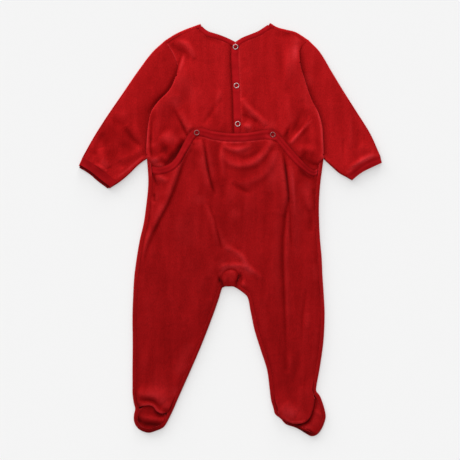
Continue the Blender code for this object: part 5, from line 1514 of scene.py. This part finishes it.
def flat_tube(start, end, outer, inner, side, height, rows, thickness, lip=0.0):
    """Rings of a tube that lies flat: start and end are the lines across it, outer and inner its edges.

    The lower layer is on the surface, the upper one at its height, and the edges are rolled.
    lip is the share of its length by which the upper layer is shorter than the lower.
    """
    floor = thickness / 2
    outer, inner = even_count(outer, rows), even_count(inner, rows)
    rates = np.linspace(0, 1, rows + 1)[:, None]
    across_outer = unit((1 - rates) * (start[1] - start[0]) + rates * (end[1] - end[0]))
    across_inner = unit((1 - rates) * (start[-2] - start[-1]) + rates * (end[-2] - end[-1]))
    roll_outer = across_outer / slant(across_outer, normals_left(outer))
    roll_inner = across_inner / slant(across_inner, normals_left(inner))
    outer_in = outer + roll_outer * (ROLL + thickness / 2)
    inner_in = inner + roll_inner * (ROLL + thickness / 2 + GAP)
    start, end = start.copy(), end.copy()
    start[0], start[-1], end[0], end[-1] = outer_in[0], inner_in[0], outer_in[-1], inner_in[-1]
    columns = len(start) - 1
    s = np.linspace(0, 1, columns + 1)[:, None]

    def line_across(t):
        """Points across the flat patch that the four edges span, at a share t of its length."""
        row = t * rows
        i = min(int(row), rows - 1)
        at_outer = outer_in[i] + (outer_in[i + 1] - outer_in[i]) * (row - i)
        at_inner = inner_in[i] + (inner_in[i + 1] - inner_in[i]) * (row - i)
        corners = ((1 - s) * (1 - t) * start[0] + s * (1 - t) * start[-1]
                   + (1 - s) * t * end[0] + s * t * end[-1])
        return (1 - t) * start + t * end + (1 - s) * at_outer + s * at_inner - corners

    lower, upper, rolls_inner, rolls_outer = [], [], [], []
    for row in range(rows + 1):
        t = row / rows
        t_top = t * (1 - lip)
        flat = line_across(t)
        lower.append(np.column_stack((flat, np.full(len(flat), floor))))
        upper.append(line_across(t_top)[::-1])
        mean = line_across((t + t_top) / 2)
        rolls_inner.append(roll_points(mean[-1], -roll_inner[row], floor))
        rolls_outer.append(roll_points(mean[0], -roll_outer[row], floor)[::-1])
    flat = np.array(upper).reshape(-1, 2)
    raised = np.column_stack((flat, height(flat[:, 0], flat[:, 1]))).reshape(rows + 1, -1, 3)
    rings = [np.vstack((low, inside, up, outside))
             for low, inside, up, outside in zip(lower, rolls_inner, raised, rolls_outer)]
    return tube([ring[::-1] for ring in rings] if side > 0 else rings, thickness)


def make_sleeve(side, rows, seam_line, fold, cuff, top):
    """A sleeve on the left (-1) or the right (1); top is where the back starts to fold over it."""
    outer, inner = edge_of(rows, "outer"), edge_of(rows, "inner")
    start = inset(seam_line, side * (GAP / 2 + EDGE))
    cuff_seam = edge_of(cuff, "seam")
    end = even_count(cuff_seam, len(start) - 1)
    under_seam = inset(inner, -side * UNDER_SEAM_IN)

    def height(x, y):
        level, outside, away = sleeve_level(x, y, (outer, inner), fold, side, top)
        detail = folds_height(x, y, SLEEVE_FOLDS) + unevenness(x, y, 70 + side)
        detail *= ease(away, *EDGE_SOFT) * ease(outside, *OUTSIDE_SOFT)
        detail -= seam(x, y, under_seam, 0.35, 0.3, 71 + side) * ease(outside, *OUTSIDE_SOFT)
        detail += seam(x, y, cuff_seam, 0.15, 0.45, 74 + side, wave=7, reach=9)
        beside = -1.5 * bell(outside, 8) * ease(top - y, *BESIDE_FOLD) * ease(away, *SLEEVE_EDGE)
        return np.maximum(level + detail + beside, BACK_LOWEST)

    count = round(lengths(outer)[-1] / STEP)
    return flat_tube(start, end, outer, inner, side, height, count, CLOTH)


def make_cuff(side, rows, lip):
    """A cuff; lip is how much shorter its upper layer is, where the mouth stands open."""
    seam_line, mouth = edge_of(rows, "seam"), edge_of(rows, "mouth")
    outer, inner = np.array([seam_line[0], mouth[0]]), np.array([seam_line[-1], mouth[-1]])
    length = math.dist(seam_line[len(seam_line) // 2], mouth[len(mouth) // 2])
    step_in = 2 * GAP + 2 * EDGE
    outer[0] += (outer[1] - outer[0]) * step_in / length
    inner[0] += (inner[1] - inner[0]) * step_in / length
    count = round(lengths(seam_line)[-1] / SMALL_STEP)
    start = even_count(seam_line + (mouth.mean(axis=0) - seam_line.mean(axis=0)) * step_in / length, count)
    opening = CUFF_MOUTH_OPEN if lip else 0

    def height(x, y):
        edges = np.minimum(distance_to(x, y, outer), distance_to(x, y, inner))
        mouth_up = opening * ease(distance_to(x, y, seam_line), 0.3 * length, length - lip)
        soft = mouth_up + 0.3 * noise(x, y, 11, 81 + side)
        return BAND / 2 + 2 * ROLL + soft * ease(edges, *SLEEVE_EDGE)

    end = even_count(mouth, count)
    return flat_tube(start, end, outer, inner, side, height, CUFF_ROWS, BAND, lip / length)


def make_sleeve_left():
    return make_sleeve(-1, SLEEVE_LEFT, SEAM_LEFT, FOLD_LEFT, CUFF_LEFT, FOLD_TOP_LEFT)


def make_sleeve_right():
    return make_sleeve(1, SLEEVE_RIGHT, SEAM_RIGHT, FOLD_RIGHT, CUFF_RIGHT, FOLD_TOP_RIGHT)


def make_cuff_left():
    return make_cuff(-1, CUFF_LEFT, CUFF_LIP_LEFT)


def make_cuff_right():
    return make_cuff(1, CUFF_RIGHT, 0.0)


def make_snap(snap):
    """Ring of a snap: rounded, and sunk a little into the cloth."""
    level = placket_height if snap.piece == "placket" else seat_band_height
    base = float(level(np.array([snap.x]), np.array([snap.y]))[0]) + BAND / 2 - SNAP_SUNK
    middle, half = (SNAP_OUTER + SNAP_HOLE) / 4, (SNAP_OUTER - SNAP_HOLE) / 4

    def rounded(value):
        return math.copysign(abs(value) ** SNAP_ROUND, value)

    profile = [(middle + half * rounded(math.cos(t)), SNAP_HEIGHT / 2 * (1 + rounded(math.sin(t))))
               for t in np.linspace(0, 2 * math.pi, SNAP_PROFILE, endpoint=False)]
    points = []
    for angle in np.linspace(0, 2 * math.pi, SNAP_AROUND, endpoint=False):
        points += [(snap.x + r * math.cos(angle), snap.y + r * math.sin(angle), base + z) for r, z in profile]
    faces = [(a, d, c, b) for a, b, c, d in ring_faces(SNAP_AROUND, SNAP_PROFILE, closed=True)]
    return Shape(np.array(points), faces, np.zeros(len(points)))


# ---------------------------------------------------------------- materials
# Painted shade of the cloth by its relief and painted marks, from the deepest hollows to painted highlights
# on edges that catch the light
HOLLOW = (0.05, 0.04, 0.04)
LEVEL_CLOTH = (0.94, 1.05, 1.05)
EDGE_LIGHT = (1.4, 4.0, 4.0)
HIDDEN = (0.15, 0.95)           # how open to the light a point is, from its darkest painted shade to its full shade
NOISE_ROUGHNESS = 0.55
SHADE_TINT = 1.35                 # in the painted shade, green and blue fade faster than red


def set_inputs(made, **inputs):
    for name, value in inputs.items():
        made.inputs[name.replace("_", " ")].default_value = value
    return made


def linked(tree, kind, socket, value, **inputs):
    """A shader node that takes a value."""
    made = set_inputs(tree.nodes.new(kind), **inputs)
    tree.links.new(value, made.inputs[socket])
    return made


def new_material(name, **inputs):
    made = bpy.data.materials.new(name)
    made.use_nodes = True
    return made, made.node_tree, set_inputs(made.node_tree.nodes["Principled BSDF"], **inputs)


def grain(tree, stretch, scale, detail):
    """Noise in object coordinates, scaled by axis."""
    place = tree.nodes.new("ShaderNodeTexCoord").outputs["Object"]
    place = linked(tree, "ShaderNodeMapping", "Vector", place, Scale=stretch).outputs["Vector"]
    made = linked(tree, "ShaderNodeTexNoise", "Vector", place, Scale=scale, Detail=detail,
                  Roughness=NOISE_ROUGHNESS)
    return made.outputs["Fac"]


def ramp(tree, value, low, high, dark, light):
    """A colour between two, as the value goes from low to high."""
    made = linked(tree, "ShaderNodeValToRGB", "Fac", value)
    made.color_ramp.interpolation = "EASE"
    for stop, position, colour in zip(made.color_ramp.elements, (low, high), (dark, light)):
        stop.position, stop.color = position, (*colour, 1)
    return made.outputs["Color"]


def ranged(tree, value, source, target):
    """A value mapped from one range to another, and kept inside it."""
    return linked(tree, "ShaderNodeMapRange", "Value", value, From_Min=source[0], From_Max=source[1],
                  To_Min=target[0], To_Max=target[1]).outputs["Result"]


def stops(tree, value, levels, size=1.0):
    """The colours given at some levels of a value, and what is between them; levels are in units of size."""
    first, last = levels[0][0], levels[-1][0]
    made = linked(tree, "ShaderNodeValToRGB", "Fac", ranged(tree, value, (first * size, last * size), (0, 1)))
    elements = made.color_ramp.elements
    for level, _ in levels[1:-1]:
        elements.new((level - first) / (last - first))
    for element, (_, colour) in zip(elements, levels):
        element.color = (*colour, 1)
    return made.outputs["Color"]


def multiplied(tree, colour, *others):
    for other in others:
        made = tree.nodes.new("ShaderNodeMix")
        made.data_type, made.blend_type = "RGBA", "MULTIPLY"
        made.inputs["Factor"].default_value = 1.0
        tree.links.new(colour, made.inputs[6])
        tree.links.new(other, made.inputs[7])
        colour = made.outputs[2]
    return colour


def bump(tree, shader, value, strength, distance, before=None):
    made = linked(tree, "ShaderNodeBump", "Height", value, Strength=strength, Distance=distance)
    if before is not None:
        tree.links.new(before, made.inputs["Normal"])
    tree.links.new(made.outputs["Normal"], shader.inputs["Normal"])
    return made.outputs["Normal"]


def tone_down(tree, tones):
    """Painted shade from the feet up, darker towards the feet: tones are pairs of height in millimetres and
    shade.
    """
    place = tree.nodes.new("ShaderNodeTexCoord").outputs["Object"]
    split = linked(tree, "ShaderNodeSeparateXYZ", "Vector", place)
    levels = [(height, (shade, shade ** SHADE_TINT, shade ** SHADE_TINT)) for height, shade in tones]
    return stops(tree, split.outputs["Y"], levels, MM)


def shaded(tree, colour, crease, ridge, darkest, reach):
    """Painted shade and highlight: the colour is made lighter on ridges and darker in creases by the mesh's
    relief and painted marks, and darker by how hidden it is.
    """
    height = tree.nodes.new("ShaderNodeAttribute")
    height.attribute_name = "relief"
    levels = ((DARKEST, HOLLOW), (-1, crease), (0, LEVEL_CLOTH), (1, ridge), (LIGHTEST, EDGE_LIGHT))
    hollow = set_inputs(tree.nodes.new("ShaderNodeAmbientOcclusion"), Distance=reach)
    hollow.samples = 8
    return multiplied(tree, colour, stops(tree, height.outputs["Fac"], levels),
                      ranged(tree, hollow.outputs["AO"], HIDDEN, (darkest, 1.0)))


def grey(level):
    return (level, level, level)


def tinted(red, strong, weak):
    """A red with its red channel scaled by one share and the others by another."""
    return (red[0] * strong, red[1] * weak, red[2] * weak)


def velour(name, red, tones=None):
    """Cotton velour: a short pile, brushed in streaks along the grain, with a soft sheen; its colour carries
    painted shade.
    """
    made, tree, shader = new_material(
        name, Roughness=0.85, Specular_IOR_Level=0.02, Sheen_Weight=0.8, Sheen_Roughness=0.45,
        Sheen_Tint=(1.0, 0.08, 0.09, 1))
    streaks = ramp(tree, grain(tree, (1, 0.16, 1), 75, 4), 0.3, 0.72,
                   tinted(red, 0.9, 0.84), tinted(red, 1.1, 1.25))
    clouds = ramp(tree, grain(tree, (1, 0.6, 1), 24, 2), 0.3, 0.7, (0.94, 0.92, 0.92), (1.06, 1.1, 1.1))
    nap = ramp(tree, grain(tree, (1, 0.5, 1), 900, 2), 0.25, 0.75, grey(0.84), grey(1.16))
    colour = multiplied(tree, streaks, clouds, nap)
    # Painted shade, darker towards the feet, where tones are given
    if tones is not None:
        colour = multiplied(tree, colour, tone_down(tree, tones))
    # Painted shade and highlight: lighter ridges, darker creases and hollows, darker where hidden
    colour = shaded(tree, colour, (0.66, 0.5, 0.5), (1.2, 2.3, 2.2), 0.32, 0.009)
    tree.links.new(colour, shader.inputs["Base Color"])
    pile = bump(tree, shader, grain(tree, (1, 0.6, 1), 700, 2), 0.3, 0.0006)
    bump(tree, shader, grain(tree, (1, 0.3, 1), 120, 3), 0.3, 0.0012, before=pile)
    return made


def jersey(name, red):
    """Fine cotton jersey: smooth, with a slightly uneven tone."""
    made, tree, shader = new_material(
        name, Roughness=0.8, Specular_IOR_Level=0.04, Sheen_Weight=0.15, Sheen_Roughness=0.5,
        Sheen_Tint=(1.0, 0.1, 0.12, 1))
    tone = ramp(tree, grain(tree, (1, 1, 1), 60, 3), 0.3, 0.7,
                tinted(red, 0.9, 0.88), tinted(red, 1.08, 1.14))
    # Painted shade and highlight: lighter ridges, darker creases and hollows, darker where hidden
    tone = shaded(tree, tone, (0.66, 0.6, 0.6), (1.2, 2.2, 2.1), 0.35, 0.006)
    tree.links.new(tone, shader.inputs["Base Color"])
    bump(tree, shader, grain(tree, (1, 1, 1), 1100, 2), 0.25, 0.0004)
    return made


def metal(name, tone, roughness):
    """Nickel of the snaps, rubbed dull by washing."""
    made, tree, shader = new_material(name, Roughness=roughness, Metallic=1.0)
    worn = ramp(tree, grain(tree, (1, 1, 1), 700, 4), 0.35, 0.65, tinted(tone, 0.7, 0.7), tone)
    tree.links.new(worn, shader.inputs["Base Color"])
    bump(tree, shader, grain(tree, (1, 1, 1), 1500, 2), 0.2, 0.0002)
    return made


# ---------------------------------------------------------------- the scene
Piece = namedtuple("Piece", "name node make finish slot shades", defaults=((),))
PIECES = table(
    Piece,
    ("cloth_front", "front", make_front, "seat", "velour", EDGE_SHADES),
    ("cloth_back_left", "upper_back_left", make_back_left, "body", "velour", BACK_LEFT_SHADES),
    ("cloth_back_right", "upper_back_right", make_back_right, "body", "velour", BACK_RIGHT_SHADES),
    ("band_placket", "placket_band", make_placket, "band", "jersey_band", PLACKET_SHADES),
    ("band_neck_front", "neck_band_front", make_neck_front, "band", "jersey_band"),
    ("band_neck_left", "neck_band_back_left", make_neck_left, "band", "jersey_band"),
    ("band_neck_right", "neck_band_back_right", make_neck_right, "band", "jersey_band"),
    ("cloth_seat", "seat", make_seat, "seat", "velour", SEAT_SHADES),
    ("band_seat", "seat_band", make_seat_band, "dark band", "jersey_band", BAND_SHADES),
    ("cloth_gusset", "gusset", make_gusset, "seat", "velour", GUSSET_SHADES),
    ("cloth_sole_left", "sole_left", make_sole_left, "seat", "velour", FOOT_SHADES),
    ("cloth_sole_right", "sole_right", make_sole_right, "seat", "velour", FOOT_SHADES),
    ("cloth_sleeve_left", "sleeve_left", make_sleeve_left, "body", "velour", SLEEVE_SHADES),
    ("cloth_sleeve_right", "sleeve_right", make_sleeve_right, "body", "velour", SLEEVE_SHADES),
    ("band_cuff_left", "cuff_left", make_cuff_left, "cuff", "jersey_band", CUFF_SHADES),
    ("band_cuff_right", "cuff_right", make_cuff_right, "cuff", "jersey_band", CUFF_SHADES))

VELOUR_RED = (0.39, 0.0050, 0.0062)
JERSEY_RED = (0.37, 0.0030, 0.0052)
# A darker jersey, for the seat's band and the cuffs
DARKER_JERSEY = tinted(JERSEY_RED, 0.84, 0.84)
# The rings' pink and red tints are a painted reflection of the red cloth round them; the seat's rings are
# darker
NICKEL_PAINTED_PINK = (0.66, 0.52, 0.52)
DULL_NICKEL_PAINTED_RED = (0.34, 0.14, 0.14)
# Painted shade on the seat and the legs, darker towards the feet: height from the middle, shade
PAINTED_DOWNWARD_SHADE = ((-320, 0.66), (-230, 0.64), (-60, 0.68), (60, 0.79), (125, 0.83), (170, 0.92), (240, 1.0))

Cloth = namedtuple("Cloth", "width length area rests_on")
# Flat size of each sheet as cut, in metres, and what it lies on
CUTS = {
    "cloth_front": Cloth(0.30, 0.64, 0.138, ("floor",)),
    "cloth_back_left": Cloth(0.15, 0.235, 0.0274, ("cloth_front",)),
    "cloth_back_right": Cloth(0.135, 0.235, 0.0246, ("cloth_front",)),
    "band_placket": Cloth(0.0105, 0.199, None, ("cloth_back_left",)),
    "band_neck_front": Cloth(0.0105, 0.165, 0.00153, ("floor",)),
    "band_neck_left": Cloth(0.0105, 0.070, 0.00053, ("cloth_front",)),
    "band_neck_right": Cloth(0.0105, 0.066, 0.00050, ("cloth_front",)),
    "cloth_seat": Cloth(0.28, 0.435, 0.0830, ("cloth_front", "cloth_back_left", "cloth_back_right")),
    "band_seat": Cloth(0.0125, 0.285, None, ("cloth_back_left", "cloth_back_right")),
    "cloth_gusset": Cloth(0.027, 0.036, 0.00086, ("cloth_front",)),
    "cloth_sole_left": Cloth(0.043, 0.044, 0.00124, ("cloth_front",)),
    "cloth_sole_right": Cloth(0.055, 0.054, 0.00134, ("cloth_front",)),
    "cloth_sleeve_left": Cloth(0.34, 0.215, 0.0296, ("floor",)),
    "cloth_sleeve_right": Cloth(0.32, 0.205, 0.0254, ("floor",)),
    "band_cuff_left": Cloth(0.108, 0.021, None, ("floor",)),
    "band_cuff_right": Cloth(0.100, 0.016, None, ("floor",))}


def add_object(name, data):
    """A new object in the scene."""
    made = bpy.data.objects.new(name, data)
    bpy.context.scene.collection.objects.link(made)
    return made


def add_piece(name, shape, shift, finish, node, slot):
    """A piece of the garment, in place of its solid."""
    mesh = bpy.data.meshes.new(name)
    mesh.from_pydata(((shape.points + shift) * MM).tolist(), [], shape.faces)
    # The relief attribute carries each point's painted shade, which the materials turn into lighter ridges
    # and darker creases
    mesh.attributes.new("relief", "FLOAT", "POINT").data.foreach_set("value", shape.nap.astype(np.float32))
    mesh.materials.append(finish)
    mesh.shade_smooth()
    mesh.set_sharp_from_angle(angle=math.radians(SHARP_ANGLE))
    made = add_object(name, mesh)
    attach(made, "root")
    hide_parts(node)
    return made


def garment_origin():
    """Where the garment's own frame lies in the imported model, in millimetres."""
    low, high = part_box("snap_placket_2")
    return np.array([(low.x + high.x) / 2 / MM - SNAPS[1].x, (low.y + high.y) / 2 / MM - SNAPS[1].y, 0.0])


def dress():
    """Makes all the pieces; returns the sheets by name."""
    finishes = {"body": velour("red velour", VELOUR_RED),
                "seat": velour("red velour, painted darker to the feet", VELOUR_RED, PAINTED_DOWNWARD_SHADE),
                "band": jersey("red jersey", JERSEY_RED),
                "dark band": jersey("red jersey, darker", DARKER_JERSEY),
                "cuff": jersey("red jersey of the cuffs", DARKER_JERSEY)}
    rings = {"placket": metal("nickel", NICKEL_PAINTED_PINK, 0.35),
             "band": metal("dull nickel", DULL_NICKEL_PAINTED_RED, 0.5)}
    shift = garment_origin()
    made = {}
    for piece in PIECES:
        shape = piece.make()
        # Painted shade: the relief plus the piece's painted marks, kept between the darkest and the lightest
        # level
        nap = np.clip(shape.nap + shade(shape.points, piece.shades), DARKEST, LIGHTEST)
        made[piece.name] = add_piece(piece.name, shape._replace(nap=nap), shift, finishes[piece.finish],
                                     piece.node, piece.slot)
    for snap in SNAPS:
        add_piece("ring_" + snap.name, make_snap(snap), shift, rings[snap.piece], snap.name, "snap_metal")
    return made


# Photograph: its side in pixels, its scale, and the pixel where the garment's frame has its origin
PHOTO_SIDE = 460
MM_PER_PIXEL = 1.5
ORIGIN_PIXEL = (235.5, 436.0)
LENS = 100.0
SENSOR = 36.0


def add_camera(shift):
    """Straight above, with the photograph's frame."""
    middle = PHOTO_SIDE / 2
    right, up = (middle - ORIGIN_PIXEL[0]) * MM_PER_PIXEL, (ORIGIN_PIXEL[1] - middle) * MM_PER_PIXEL
    data = bpy.data.cameras.new("camera")
    data.lens, data.sensor_width = LENS, SENSOR
    camera = add_object("camera", data)
    height = PHOTO_SIDE * MM_PER_PIXEL * LENS / SENSOR + SEAT_LAYER
    camera.location = Vector(((shift[0] + right) * MM, (shift[1] + up) * MM, height * MM))
    bpy.context.scene.camera = camera


FLOOR_HALF = 3.0
FLOOR_BELOW = 0.0005
FLOOR_GREY = 0.5
FLOOR_GLOW = 0.39
WORLD_STRENGTH = 0.41


def add_floor():
    mesh = bpy.data.meshes.new("floor")
    corners = [(x * FLOOR_HALF, y * FLOOR_HALF, 0) for x, y in ((-1, -1), (1, -1), (1, 1), (-1, 1))]
    mesh.from_pydata(corners, [], [(0, 1, 2, 3)])
    made, _, _ = new_material(
        "pale floor", Roughness=0.9, Base_Color=(*grey(FLOOR_GREY), 1), Specular_IOR_Level=0.0,
        Emission_Color=(*grey(1), 1), Emission_Strength=FLOOR_GLOW)
    mesh.materials.append(made)
    floor = add_object("floor", mesh)
    floor.location.z = -FLOOR_BELOW


Sun = namedtuple("Sun", "name turn height strength width")
# Soft lights: each one's direction round the object and above it, its strength and the angle it spans
SUNS = table(Sun, ("key", 110, 58, 1.25, 60), ("low right", 80, 14, 1.9, 30), ("low left", 132, 14, 1.9, 30))


def add_sun(sun):
    turn, height = math.radians(sun.turn), math.radians(sun.height)
    level = math.cos(height)
    direction = Vector((math.cos(turn) * level, math.sin(turn) * level, math.sin(height)))
    data = bpy.data.lights.new(sun.name, "SUN")
    data.energy, data.angle = sun.strength, math.radians(sun.width)
    lamp = add_object(sun.name, data)
    lamp.rotation_mode = "QUATERNION"
    lamp.rotation_quaternion = (-direction).to_track_quat("-Z", "Y")
    lamp.location = direction


def light_up():
    for sun in SUNS:
        add_sun(sun)
    scene = bpy.context.scene
    scene.world = bpy.data.worlds.new("studio")
    scene.world.use_nodes = True
    set_inputs(scene.world.node_tree.nodes["Background"], Color=(*grey(1), 1), Strength=WORLD_STRENGTH)
    scene.view_settings.view_transform = "Standard"
    scene.view_settings.look = "None"


def main():
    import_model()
    add_camera(garment_origin())
    add_floor()
    light_up()
    made = dress()
    for name, cloth in CUTS.items():
        list(cloth.rests_on)


main()
